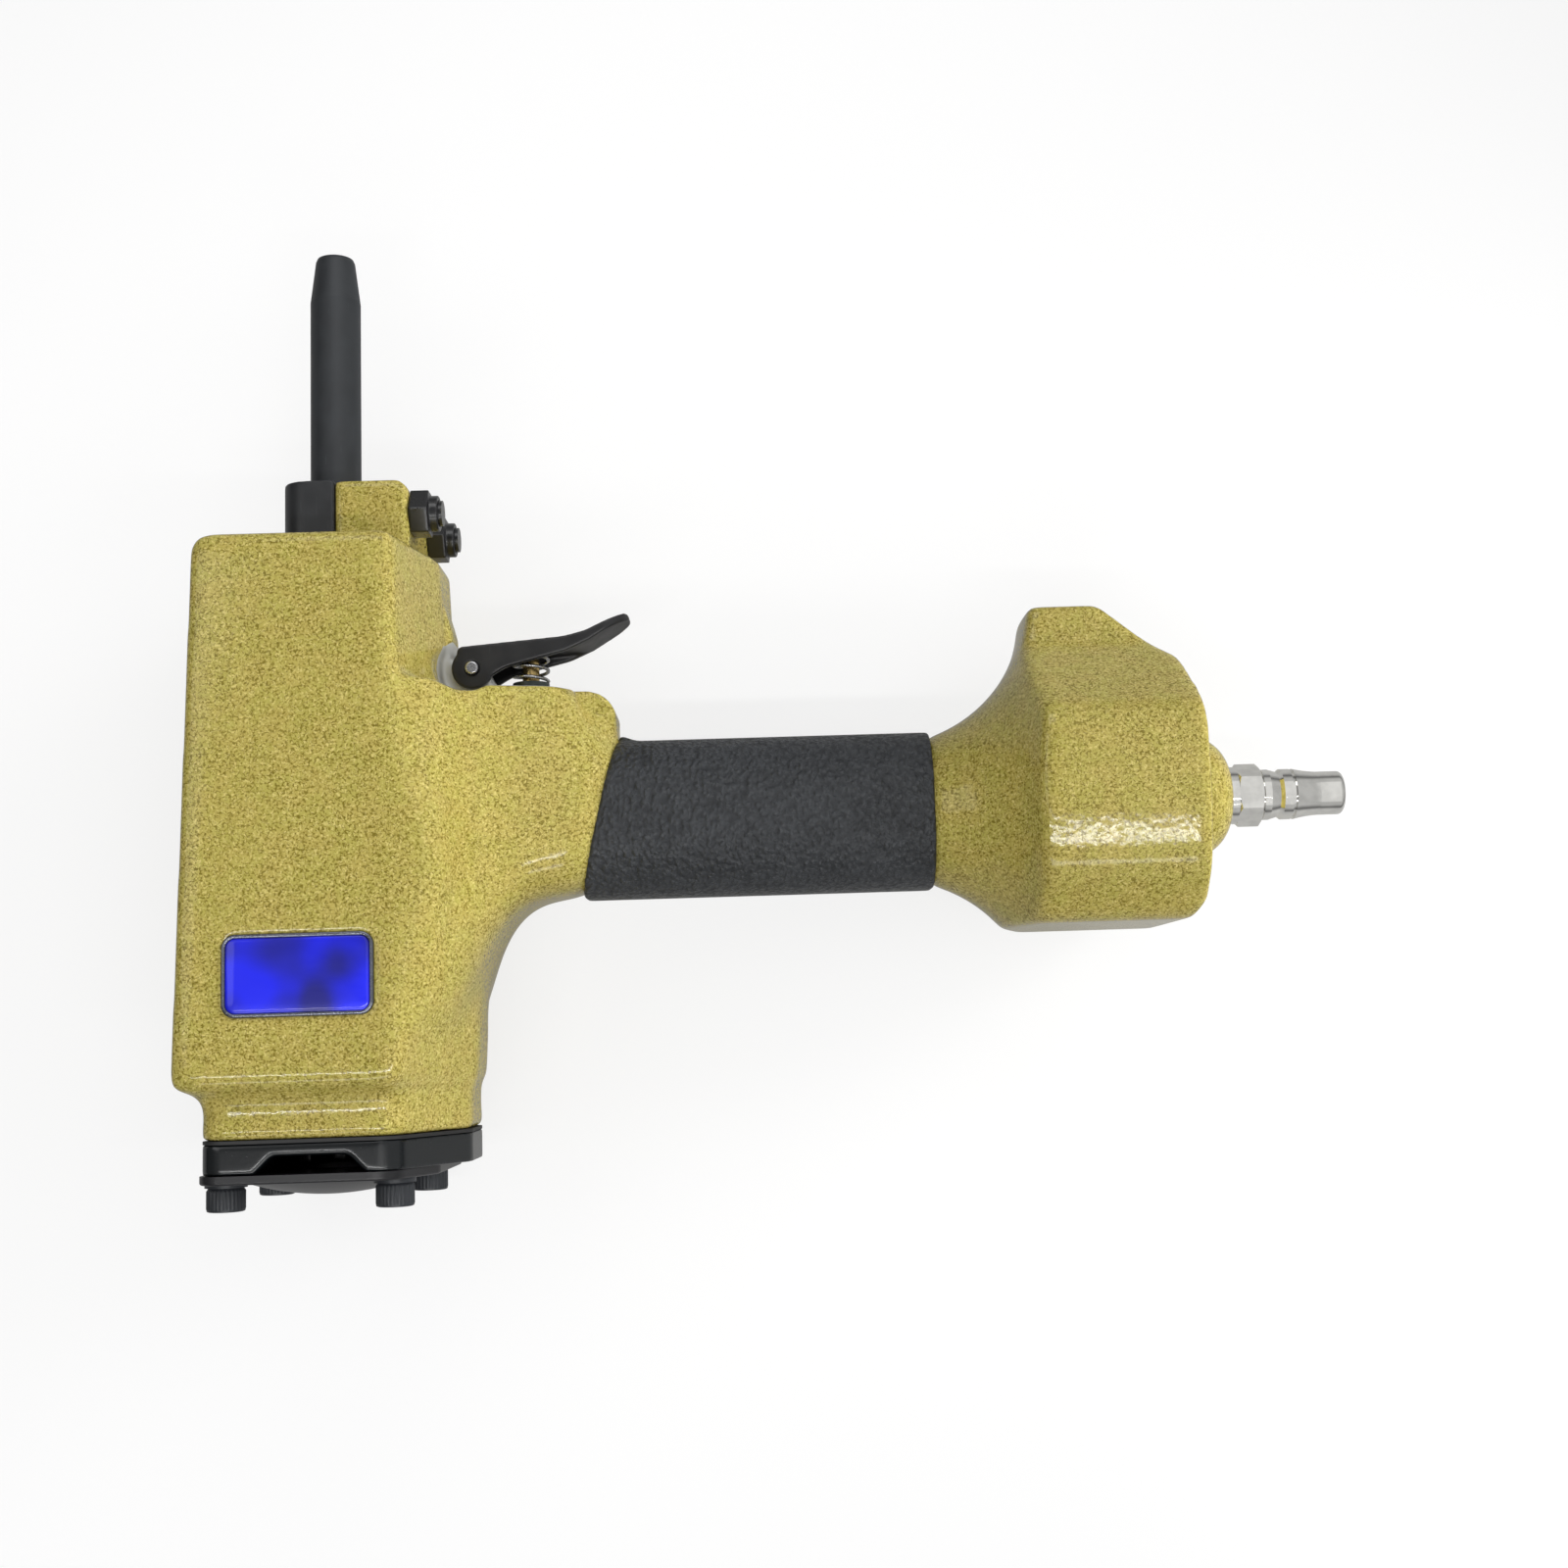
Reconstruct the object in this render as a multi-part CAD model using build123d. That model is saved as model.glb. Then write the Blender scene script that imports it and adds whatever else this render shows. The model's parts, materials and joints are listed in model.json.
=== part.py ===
from build123d import *
import math
import os

# Pneumatic nail puller lying on its side, in millimetres.
# While it is drawn, X runs along the handle to the air plug, Y along the cylinder to the nozzle
# and Z across the tool. X = Z = 0 is the cylinder's axis and Y = 0 the air plug's axis.

# Fits
seat = 0.05             # between pieces that are pressed, screwed or clamped together
run = 0.06              # radial clearance of a piece that slides or turns on another
free = 0.3              # between pieces that pass each other without touching

# Head of the casting
head_half = 38.0        # half thickness
head_band = 8.0         # half width of the upright band along the middle of the flank
head_top = 61.3
head_left_top = -24.6
head_left_low = -28.4
head_draft = 0.6        # how far the sides stand out at the middle
ridge_top_x = 19.8      # right edge of the flat side at the nose end
ridge_bulge_x = 31.6    # the same edge where the handle joins
ridge_low_x = 19.6      # the same edge at the cap end
ridge_turn_y = 28.0     # where the edge leaves the upper flank for the handle
bulge_y = -11.0
bulge_length = 6.0
flank_top_x = 25.8
flank_draft = 1.6       # how far the upper flank leans out down to the handle
flank_bulge_x = 36.0
flank_low_x = 33.6
shoulder = 2.0          # round at the nose end of the flank
corner_round = 4.0
foot_round = 1.5        # corners at the cap end
ridge_round = 12.0
edge_round = 2.5        # edges of the flat sides

# Cylinder and what runs in it, from the nose end to the cap
top_wall = 9.3          # casting between the bumper and the head's top
bumper_length = 14.0
bumper_hole_r = 7.0
stroke = 66.0
piston_length = 14.0
rim_margin = 3.7        # from the piston at rest to the cylinder's rim
valve_room = 26.0       # from the cylinder's rim to the cap face
flange_length = 10.6    # stepped-in end of the casting that carries the cap
bore_r = 17.5
sleeve_wall = 2.5
air_gap = 2.5           # air space around the sleeve
driver_r = 2.5
driver_shoulder_r = 4.5
driver_shoulder = 3.0
driver_thread_end = 0.5 # thread's end below the piston's back
driver_nut_flats = 8.2
driver_nut_thick = 4.0
nut_room_r = 7.0        # pocket for the nut in the piston
nut_room = 5.0
piston_ring_drop = 4.5  # from the piston's front to its ring
bumper_bevel = 3.0
land_length = 8.0       # lands that seal the sleeve in the casting
land_margin = 3.0       # from the handle's air way to the lower land
return_hole_r = 1.3
return_hole_drop = 2.0  # below the bumper
band_half = 3.0
band_thick = 1.5

# Seal rings
ring_wire_r = 1.0
piston_ring_wire_r = 1.6
groove_play = 0.2       # room beside a ring in its groove

# Nose
nose_height = 16.8
nose_foot = 5.0         # gold half of the nose below the head's top
nose_bevel = 2.2
nose_half = 18.0
nose_left = -9.3
nose_split_x = 3.4
nose_right = 20.4
nose_round = 6.0
nose_edge = 0.5
nose_bolt_rise = 9.5    # above the head's top
nose_bolt_z = 12.5
nose_stud_r = 3.0
nose_stud_depth = 10.0  # thread in the nose plate
nut_flats = 10.0
nut_thick = 4.3
nut_collar = 2.1
nut_collar_r = 4.2
stud_end = 0.9          # stud beyond its nut

# Nozzle
nozzle_r = 6.0
nozzle_reach = 60.7     # beyond the nose
nozzle_tip_r = 4.7
nozzle_taper = 11.5
nozzle_tip_round = 1.2
mouth_r = 3.0
mouth_length = 28.0
collar_r = 7.6
collar_rise = 4.7       # above the head's top
collar_thick = 4.0
guide_r = 7.0
guide_stand = 1.7       # guide bush above the head's top
tip_margin = 2.0        # from the driver at full stroke to the nozzle's tip

# Cap end
flange_left = -23.1
flange_right = 32.3
flange_turn_x = 19.0    # where the cap's side turns in to the right end
flange_half = 33.0
flange_end_half = 8.5
flange_rounds = (4.5, 8.0, 5.0)
flange_cove = 4.0
gasket_thick = 0.8
cap_thick = 6.6
slot_x = 0.8            # middle of the exhaust slot
slot_depth = 3.9
slot_inner = 8.2        # half width of the slot at its top
slot_outer = 12.0       # half width where it meets the cover
slot_round = 2.5
cover_thick = 2.0
cover_left = -23.6
cover_right = 26.2
cover_turn_x = 18.6
cover_half = 33.6
cover_end_half = 16.0
cover_edge = 0.6
dome_r = 23.0
dome_height = 4.6
dome_wall = 1.6
screw_x = -1.1          # middle of the four cap screws
screw_pitch_x = 37.0
screw_pitch_z = 46.0
screw_r = 2.5
screw_head_r = 4.25
screw_head = 5.2
screw_head_round = 0.5
socket_flats = 4.0
socket_depth = 2.6
screw_grip = 12.0       # thread in the casting
washer_r = 4.6
washer_thick = 1.0

# Head valve
valve_disc_r = 19.4
valve_disc = 6.0
valve_skirt_r = 12.0
valve_skirt = 14.0
valve_skirt_wall = 2.5
valve_hole_r = 8.0
valve_lift = 4.0
valve_face = 1.5        # rubber face on the disc
valve_face_rim = 2.0    # disc inside the rubber face
guide_wall = 3.0
guide_room = 1.5        # guide stands this far short of the lifted disc
exhaust_r = 6.0
exhaust_seal = 2.6
valve_spring_r = 17.0
valve_spring_wire_r = 0.9
valve_spring_turns = 3.5

# Handle
handle_y = -1.7
grip_height = 37.0
grip_width = 34.0
grip_round = 14.0
grip_wall = 2.5
grip_left_x = 62.6      # slanted end of the grip, at the handle's axis
grip_slant = 8.8        # how far that end leans over the grip's height
grip_right_x = 140.2
grip_lip = 1.2          # raised edge on top of the slanted end
grip_lip_length = 4.5
grip_lip_half = 5.0
reservoir_r = 11.0
platform_y = 28.3       # flat top of the handle under the trigger
# Sections of the neck between head and grip: x, top over the platform, bottom, half width, corner.
# What stands above the platform is cut off.
neck_sections = [
    (22.0, 20.0, -57.0, 36.5, 20.0),
    (33.0, 13.0, -43.0, 28.5, 13.0),
    (38.5, 10.0, -28.9, 23.2, 10.0),
    (45.0, 9.0, -21.7, 20.8, 9.0),
    (54.0, 4.0, -19.5, 19.4, 9.5),
    (60.5, -5.3, -19.6, 18.4, 12.0),
    (70.0, -10.9, -20.0, 17.4, 14.0),
]
lobe_half = 9.0
lobe_right_x = 67.0
lobe_round = 7.0
lobe_edge = 1.0

# Tail
tail_end_x = 199.3
tail_top = 34.6
tail_low = -30.0
tail_half = 38.0
tail_flat_top = 15.5    # flat side, from here
tail_flat_low = -5.0    # to here
tail_low_half = 24.0
tail_bend_y = -19.0
tail_bend_half = 35.0
tail_rounds = (2.0, 1.5, 4.0, 10.0, 14.0, 14.0, 8.0)
pad_top = 45.2          # striking pad on top
pad_half = 12.5
pad_draft = 1.0
pad_foot = 1.5          # straight foot of the pad
pad_step = 2.0          # step from the pad to the slanted faces
pad_right_x = 180.6
tail_shoulder = (197.9, 30.5)
tail_end_top = 21.5
tail_end_low = -26.0
tail_foot = 2.6
cove_start_r = 17.6
cove_bulge = (155.5, 27.2)
cove_end = (164.2, 54.0)
tail_hollow_r = 22.0
tail_hollow_left = 162.0
tail_hollow_right = 186.0

# Air inlet
inlet_spigot_r = 13.0
inlet_spigot = 12.0
inlet_flange_r = 14.2
inlet_flange = 5.2
inlet_dome = 6.4
inlet_dome_r = 10.0     # curve of the dome
inlet_face_r = 7.8
plug_thread_r = 5.2
plug_thread = 9.0
plug_collar_r = 6.8
plug_collar = 1.9
hex_flats = 13.0
hex_thick = 5.8
hex_bevel = 0.9
plug_r = 6.0
plug_neck_r = 5.4
plug_neck = 0.4         # between hex and body
plug_body = 1.6
plug_dip_r = 5.35       # catch groove, with one sloping side
plug_dip = 2.2
plug_dip_rise = 0.8
plug_land = 2.2
plug_groove = 0.8
plug_waist = 5.8        # hollow taper from the groove in to the nose
plug_waist_sag = 0.14
plug_nose_r = 5.15
plug_nose = 5.95
plug_nose_round = 1.1
plug_bore_r = 3.4

# Trigger
pivot_x = 33.3
pivot_y = 34.7
pin_r = 1.6
pin_half = 8.6
boss_r = 4.9
lever_half = 7.5
lever_tip_round = 7.0   # the finger pad's end, seen along the handle's plane
cheek = 2.0
web = 1.8
pin_end_round = 0.5
notch_r = 8.3           # milled pocket around the pin
ear_r = 3.1
ear_rise = 9.0          # ear above the pin
ear_foot = 2.0          # ear below the handle's top
# Outline of the lever's cheeks from the pin: x, y, round
lever_points = [
    (-3.6, 5.2, 1.5),
    (21.6, 7.2, 20.0),
    (26.7, 8.5, 12.0),
    (36.3, 13.1, 0.8),
    (37.2, 11.7, 0.8),
    (31.0, 8.3, 8.0),
    (27.6, 6.2, 8.0),
    (22.0, 3.7, 12.0),
    (7.7, 0.1, 8.0),
    (3.7, -2.3, 3.0),
    (-3.6, -3.0, 2.0),
]
lever_web_end = 27.0    # end of the channel under the lever, from the pin
lever_web_bend = 21.2
lever_web_rise = 2.3    # how far the channel's roof climbs to its bend
lever_web_tip = 0.7     # and from there to its end

# Trigger valve
stem_x = 46.3
stem_r = 2.0
stem_poppet_r = 4.2
stem_poppet = 2.0
stem_tail = 1.0         # stem below its poppet
poppet_room = 2.0       # above the poppet at rest
bushing_r = 7.4
bushing_depth = 19.0
bushing_neck_r = 4.35
bushing_neck = 3.6
bushing_chamber_r = 4.8
bushing_chamber = 14.0
valve_seat_thick = 1.6
valve_port_r = 2.4
bushing_ring_top = 4.0  # from the handle's top to the upper ring
bushing_ring_low = 3.0  # from the bushing's foot to the lower one
control_r = 2.0
control_x = 24.5
control_z = 14.0
control_drop = 11.0     # drilled passage below the handle's top
control_depth = 2.0     # its blind end in the cap
lever_spring_r = 4.1
lever_spring_wire_r = 0.45
lever_spring_turns = 2.25
seat_spring_r = 3.3
seat_spring_wire_r = 0.4
seat_spring_turns = 4.0

# Points on each turn of a coil where its gap to itself is measured
gap_points = 48

# Nameplate
plate_width = 32.8
plate_height = 18.0
plate_thick = 1.2
plate_round = 3.0
plate_x = -0.5
plate_y = -36.9
plate_recess = 0.7
plate_bevel = 0.35

# Places worked out from the sizes above
bumper_seat = head_top - top_wall
bumper_back = bumper_seat - bumper_length
piston_front = bumper_back - free - stroke
piston_back = piston_front - piston_length
sleeve_rim = piston_back - rim_margin
flange_end = sleeve_rim - valve_room
head_low = flange_end + flange_length
sleeve_r = bore_r + sleeve_wall
chamber_r = sleeve_r + air_gap
nose_top = head_top + nose_height
nose_bolt_y = head_top + nose_bolt_rise
nozzle_tip = nose_top + nozzle_reach
guide_top = head_top + guide_stand
cap_top = flange_end - gasket_thick
cap_low = cap_top - cap_thick
cover_low = cap_low - cover_thick
screw_seat = cover_low - washer_thick
screw_low = screw_seat - screw_head
valve_face_y = sleeve_rim - free
disc_low = valve_face_y - valve_face - valve_disc
skirt_low = disc_low - valve_skirt
seal_top = skirt_low - valve_lift - free
guide_top_y = disc_low - valve_lift - guide_room
screw_places = [
    (screw_x + side * screw_pitch_x / 2, depth * screw_pitch_z / 2)
    for side in (-1, 1)
    for depth in (-1, 1)
]
grip_top = handle_y + grip_height / 2
inlet_face = tail_end_x + inlet_flange + inlet_dome
bushing_low = platform_y - bushing_depth
bushing_top = platform_y + bushing_neck
control_y = platform_y - control_drop


def rounded(points, radii):
    """Face with straight sides and a round at each corner."""
    corners = []
    for i, radius in enumerate(radii):
        corner = Vector(*points[i])
        back = (Vector(*points[i - 1]) - corner).normalized()
        ahead = (Vector(*points[(i + 1) % len(points)]) - corner).normalized()
        half = math.radians(back.get_angle(ahead)) / 2
        reach = radius / math.tan(half)
        middle = corner + (back + ahead).normalized() * (radius / math.sin(half) - radius)
        corners.append((corner + back * reach, middle, corner + ahead * reach))
    edges = []
    for this, after in zip(corners, corners[1:] + corners[:1]):
        edges.append(ThreePointArc(*this))
        edges.append(Line(this[2], after[0]))
    return make_face(edges)


def polygon(points):
    return make_face(Polyline(*points, close=True))


def across(face, low, high):
    """Face drawn in X and Y, from one height to another along Z."""
    return Pos(0, 0, low) * extrude(face, high - low)


def along_y(face, low, high):
    """Face drawn in X and Z, from low to high along Y."""
    return Plane.XZ.offset(-high) * extrude(face, high - low)


def along_x(face, low, high):
    """Face drawn in Y and Z, from low to high along X."""
    return Plane.YZ.offset(low) * extrude(face, high - low)


def rod_y(radius, low, high, x=0, z=0):
    return Pos(x, (low + high) / 2, z) * Rot(90, 0, 0) * Cylinder(radius, high - low)


def rod_x(radius, low, high, y=0, z=0):
    return Pos((low + high) / 2, y, z) * Rot(0, 90, 0) * Cylinder(radius, high - low)


def rod_z(radius, low, high, x=0, y=0):
    return Pos(x, y, (low + high) / 2) * Cylinder(radius, high - low)


def tube_y(outer, inner, low, high, x=0, z=0):
    return rod_y(outer, low, high, x, z) - rod_y(inner, low, high, x, z)


def turned_y(profile, x=0, z=0):
    """Profile of radius and Y, turned about an axis along Y."""
    return Pos(x, 0, z) * revolve(polygon(profile), Axis.Y)


def turned_x(profile, y=0, z=0):
    """Profile of X and radius, turned about an axis along X."""
    return Pos(0, y, z) * revolve(polygon(profile), Axis.X)


def ring_y(middle_r, wire_r, y, x=0, z=0):
    return Pos(x, y, z) * Rot(90, 0, 0) * Torus(middle_r, wire_r)


def groove_y(middle_r, wire_r, y, reach):
    """Ring cut for a seal ring that stands in an outer face."""
    half = wire_r + groove_play
    return tube_y(middle_r + reach, middle_r - wire_r - seat, y - half, y + half)


def spring_y(coil_r, wire_r, turns, low, high, x=0, z=0):
    """Open coil along Y between two seats, one unbroken wire."""
    climb = high - low - 2 * wire_r - 2 * seat
    first = low + wire_r + seat
    count = round(turns * 4)
    step = turns * 2 * math.pi / count

    def place(angle):
        rise = first + climb * angle / (turns * 2 * math.pi)
        return Vector(x + coil_r * math.cos(angle), rise, z + coil_r * math.sin(angle))

    def heading(angle):
        rise = climb / (turns * 2 * math.pi)
        return Vector(-coil_r * math.sin(angle), rise, coil_r * math.cos(angle)).normalized()

    points = [place(2 * math.pi * i / gap_points) for i in range(int(gap_points * turns) + 1)]
    gaps = [
        (a - b).length - 2 * wire_r
        for i, a in enumerate(points)
        for b in points[i + gap_points // 2 :]
    ]
    print(f"coil of {turns} turns, least gap to itself {min(gaps):.2f} mm")

    arcs = []
    for i in range(count):
        here, there = place(i * step), place((i + 1) * step)
        leaving, arriving = heading(i * step), heading((i + 1) * step)
        # Two arcs that leave and arrive along the coil and meet smoothly
        span = there - here
        both = leaving + arriving
        bend = both.dot(both) - 4
        pull = span.dot(both)
        reach = (pull - math.sqrt(pull * pull - bend * span.dot(span))) / bend
        out, back = here + leaving * reach, there - arriving * reach
        meet = (out + back) * 0.5
        arcs.append(TangentArc(here, meet, tangent=leaving))
        arcs.append(TangentArc(meet, there, tangent=back - out))
    path = Wire(arcs)
    end = Plane(origin=place(0), z_dir=heading(0))
    return sweep(end * Circle(wire_r), path)


def head_block():
    bulge_top = bulge_y + bulge_length / 2
    bulge_low = bulge_y - bulge_length / 2
    side = [
        (head_left_top, head_top),
        (ridge_top_x, head_top),
        (ridge_top_x + head_draft, ridge_turn_y),
        (ridge_bulge_x, bulge_top),
        (ridge_bulge_x, bulge_low),
        (ridge_low_x, head_low),
        (head_left_low, head_low),
    ]
    middle = [
        (head_left_top - head_draft, head_top),
        (flank_top_x, head_top),
        (flank_top_x + flank_draft, ridge_turn_y),
        (flank_bulge_x, bulge_top),
        (flank_bulge_x, bulge_low),
        (flank_low_x, head_low),
        (head_left_low - head_draft, head_low),
    ]
    ridge_rounds = [ridge_round, ridge_round, ridge_round]
    inner = rounded(middle, [corner_round, shoulder, *ridge_rounds, foot_round, foot_round])
    rim_round = edge_round + free
    outer = rounded(side, [corner_round, rim_round, *ridge_rounds, rim_round, rim_round])
    taper = loft([Pos(0, 0, head_band) * inner, Pos(0, 0, head_half) * outer], ruled=True)
    rim = [e for e in taper.edges() if e.center().Z > head_half - seat]
    taper = fillet(rim, edge_round)
    band = across(inner, -head_band, head_band)
    return band + taper + mirror(taper, about=Plane.XY)


def cap_face(left, right, turn_x, half, end_half):
    """Face in X and Z with slanted sides at its right end."""
    points = [
        (left, half),
        (turn_x, half),
        (right, end_half),
        (right, -end_half),
        (turn_x, -half),
        (left, -half),
    ]
    return rounded(points, flange_rounds + flange_rounds[::-1])


def flange_outline(grow=0.0):
    """Outline of the cap, grown on all sides but its right end."""
    left, half = flange_left - grow, flange_half + grow
    return cap_face(left, flange_right, flange_turn_x, half, flange_end_half)


def flange_step():
    """Hollow curve from the head in to the flange."""
    sections = []
    for turn in (0, 30, 60, 90):
        angle = math.radians(turn)
        grow = flange_cove * (1 - math.sin(angle))
        drop = flange_cove * (1 - math.cos(angle))
        sections.append(Plane.XZ.offset(drop - head_low) * flange_outline(grow))
    return loft(sections, ruled=True)


def nose_block():
    points = [
        (nose_split_x, head_top - nose_foot),
        (nose_right, head_top - nose_foot),
        (nose_right, nose_top - nose_bevel),
        (nose_right - nose_bevel, nose_top),
        (nose_split_x, nose_top),
    ]
    return across(polygon(points), -nose_half, nose_half)


def neck():
    sections = []
    for x, rise, bottom, half, corner in neck_sections:
        top = platform_y + rise
        shape = RectangleRounded(top - bottom, 2 * half, corner)
        sections.append(Plane.YZ.offset(x) * Pos((top + bottom) / 2, 0) * shape)
    reach = 2 * head_half
    below = Pos(grip_left_x, platform_y - reach, 0) * Box(2 * grip_right_x, 2 * reach, 2 * reach)
    return loft(sections) & below


def lobe():
    left = stem_x
    points = [
        (left, platform_y),
        (lobe_right_x, platform_y),
        (lobe_right_x, handle_y),
        (left, handle_y),
    ]
    radii = [lobe_edge, lobe_round, lobe_edge, lobe_edge]
    return across(rounded(points, radii), -lobe_half, lobe_half)


def grip_shape(inset):
    """Outline of the grip in Y and Z, drawn in by an inset."""
    size = (grip_height - 2 * inset, grip_width - 2 * inset)
    return Pos(handle_y, 0) * RectangleRounded(*size, grip_round - inset)


def grip_span():
    """Block between the slanted and the square end of the grip."""
    lean = grip_slant / grip_height
    reach = 2 * grip_height
    top, low = handle_y + reach, handle_y - reach
    points = [
        (grip_left_x + lean * reach, top),
        (grip_right_x, top),
        (grip_right_x, low),
        (grip_left_x - lean * reach, low),
    ]
    return across(polygon(points), -grip_width, grip_width)


def tail():
    half_section = [
        (pad_top, pad_half - pad_draft),
        (tail_top + pad_foot, pad_half),
        (tail_top + pad_foot - pad_step, pad_half + pad_step),
        (tail_flat_top, tail_half),
        (tail_flat_low, tail_half),
        (tail_bend_y, tail_bend_half),
        (tail_low, tail_low_half),
    ]
    section = half_section + [(y, -z) for y, z in reversed(half_section)]
    radii = tail_rounds + tail_rounds[::-1]
    body = along_x(rounded(section, radii), grip_right_x, tail_end_x)
    outline = [
        (grip_right_x, pad_top),
        (pad_right_x, pad_top),
        tail_shoulder,
        (tail_end_x, tail_end_top),
        (tail_end_x, tail_end_low),
        (tail_end_x - tail_foot, tail_low),
        (grip_right_x, tail_low),
    ]
    body &= across(polygon(outline), -tail_half, tail_half)
    start = (grip_right_x, cove_start_r)
    cove = make_face(
        [
            ThreePointArc(start, cove_bulge, cove_end),
            Polyline(cove_end, (tail_end_x, cove_end[1]), (tail_end_x, 0), (grip_right_x, 0), start),
        ]
    )
    return body & Pos(0, handle_y, 0) * revolve(cove, Axis((0, 0, 0), (1, 0, 0)))


def control_drill():
    """Drilled passage from the trigger valve to the one down the head."""
    start = Vector(stem_x, control_y, 0)
    reach = Vector(control_x, control_y, control_z) - start
    return Plane(origin=start, z_dir=reach) * extrude(Circle(control_r), reach.length)


def trigger_ear():
    left = pivot_x - boss_r
    points = [
        (ridge_top_x, pivot_y + 2 * ear_rise),
        (flank_top_x - seat, pivot_y + 2 * ear_rise),
        (left, pivot_y + ear_rise),
        (left, pivot_y + ear_r),
        (pivot_x + ear_r, pivot_y),
        (pivot_x + notch_r, platform_y - ear_foot),
        (ridge_top_x, platform_y - ear_foot),
    ]
    half = lever_half - cheek - free
    return across(polygon(points), -half, half) + rod_z(ear_r, -half, half, pivot_x, pivot_y)


def body_casting():
    body = head_block()
    body += along_y(flange_outline(), flange_end, head_low + flange_cove)
    body += flange_step()
    body += nose_block()
    handle = neck() + lobe()
    body += handle - grip_span()
    body += along_x(grip_shape(grip_wall), grip_left_x - grip_slant, grip_right_x)
    body += tail()
    body -= rod_z(notch_r, -head_half, head_half, pivot_x, pivot_y)
    body += trigger_ear()
    # Cylinder chamber and the bush above it
    body -= rod_y(chamber_r, flange_end, bumper_seat)
    body -= rod_y(guide_r + seat, bumper_seat, guide_top + seat)
    body -= rod_y(nozzle_r + seat, head_top, nose_top)
    collar = head_top + collar_rise
    body -= rod_y(collar_r + seat, collar - seat, collar + collar_thick + seat)
    # Air reservoir in the handle and tail
    body -= rod_x(reservoir_r, 0, tail_end_x, handle_y)
    body -= rod_x(tail_hollow_r, tail_hollow_left, tail_hollow_right)
    body -= rod_x(inlet_spigot_r + seat, tail_hollow_right, tail_end_x)
    # Trigger valve and the passage from it to the head valve
    body -= rod_y(bushing_r + seat, bushing_low - valve_seat_thick, platform_y, stem_x)
    body -= rod_y(valve_port_r, handle_y, platform_y, stem_x)
    body -= control_drill()
    body -= rod_y(control_r, flange_end, control_y, control_x, control_z)
    # Screw holes, stud holes, pin hole and the recess of the nameplate
    for x, z in screw_places:
        body -= rod_y(screw_r + seat, flange_end, flange_end + screw_grip, x, z)
    for z in (-nose_bolt_z, nose_bolt_z):
        body -= rod_x(nose_stud_r + seat, nose_split_x, nose_right, nose_bolt_y, z)
    body -= rod_z(pin_r + seat, -head_half, head_half, pivot_x, pivot_y)
    recess = Pos(plate_x, plate_y) * RectangleRounded(
        plate_width + 2 * free, plate_height + 2 * free, plate_round + free
    )
    body -= across(recess, head_half - plate_recess, head_half)
    return body


def grip_sleeve():
    outer = along_x(grip_shape(0), grip_left_x - grip_slant, grip_right_x)
    inner = along_x(grip_shape(grip_wall - seat), grip_left_x - grip_slant, grip_right_x)
    sleeve = (outer - inner) & grip_span()
    # Raised edge on top of the slanted end
    start = grip_left_x + grip_slant / 2
    rib = [
        (start - seat, grip_top - grip_wall / 2),
        (start + grip_lip / 4, grip_top + grip_lip),
        (start + grip_lip, grip_top + grip_lip),
        (start + grip_lip_length, grip_top - seat),
        (start + grip_lip_length, grip_top - grip_wall / 2),
    ]
    return sleeve + (across(polygon(rib), -grip_lip_half, grip_lip_half) & grip_span())


def inlet_cap():
    thread = tail_end_x - inlet_spigot
    dome_start = tail_end_x + inlet_flange
    bore = plug_thread_r + seat
    profile = [
        Polyline(
            (dome_start, inlet_flange_r),
            (tail_end_x + seat, inlet_flange_r),
            (tail_end_x + seat, inlet_spigot_r),
            (thread, inlet_spigot_r),
            (thread, bore),
            (inlet_face, bore),
            (inlet_face, inlet_face_r),
        ),
        RadiusArc((inlet_face, inlet_face_r), (dome_start, inlet_flange_r), -inlet_dome_r),
    ]
    cap = revolve(make_face(profile), Axis.X)
    groove = inlet_spigot_r - ring_wire_r
    half = ring_wire_r + groove_play
    middle = tail_end_x - inlet_spigot / 2
    cut = rod_x(inlet_spigot_r + free, middle - half, middle + half)
    return cap - (cut - rod_x(groove - ring_wire_r - seat, middle - half, middle + half))


def inlet_seal():
    middle = tail_end_x - inlet_spigot / 2
    return Pos(middle, 0, 0) * Rot(0, 90, 0) * Torus(inlet_spigot_r - ring_wire_r, ring_wire_r)


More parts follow.
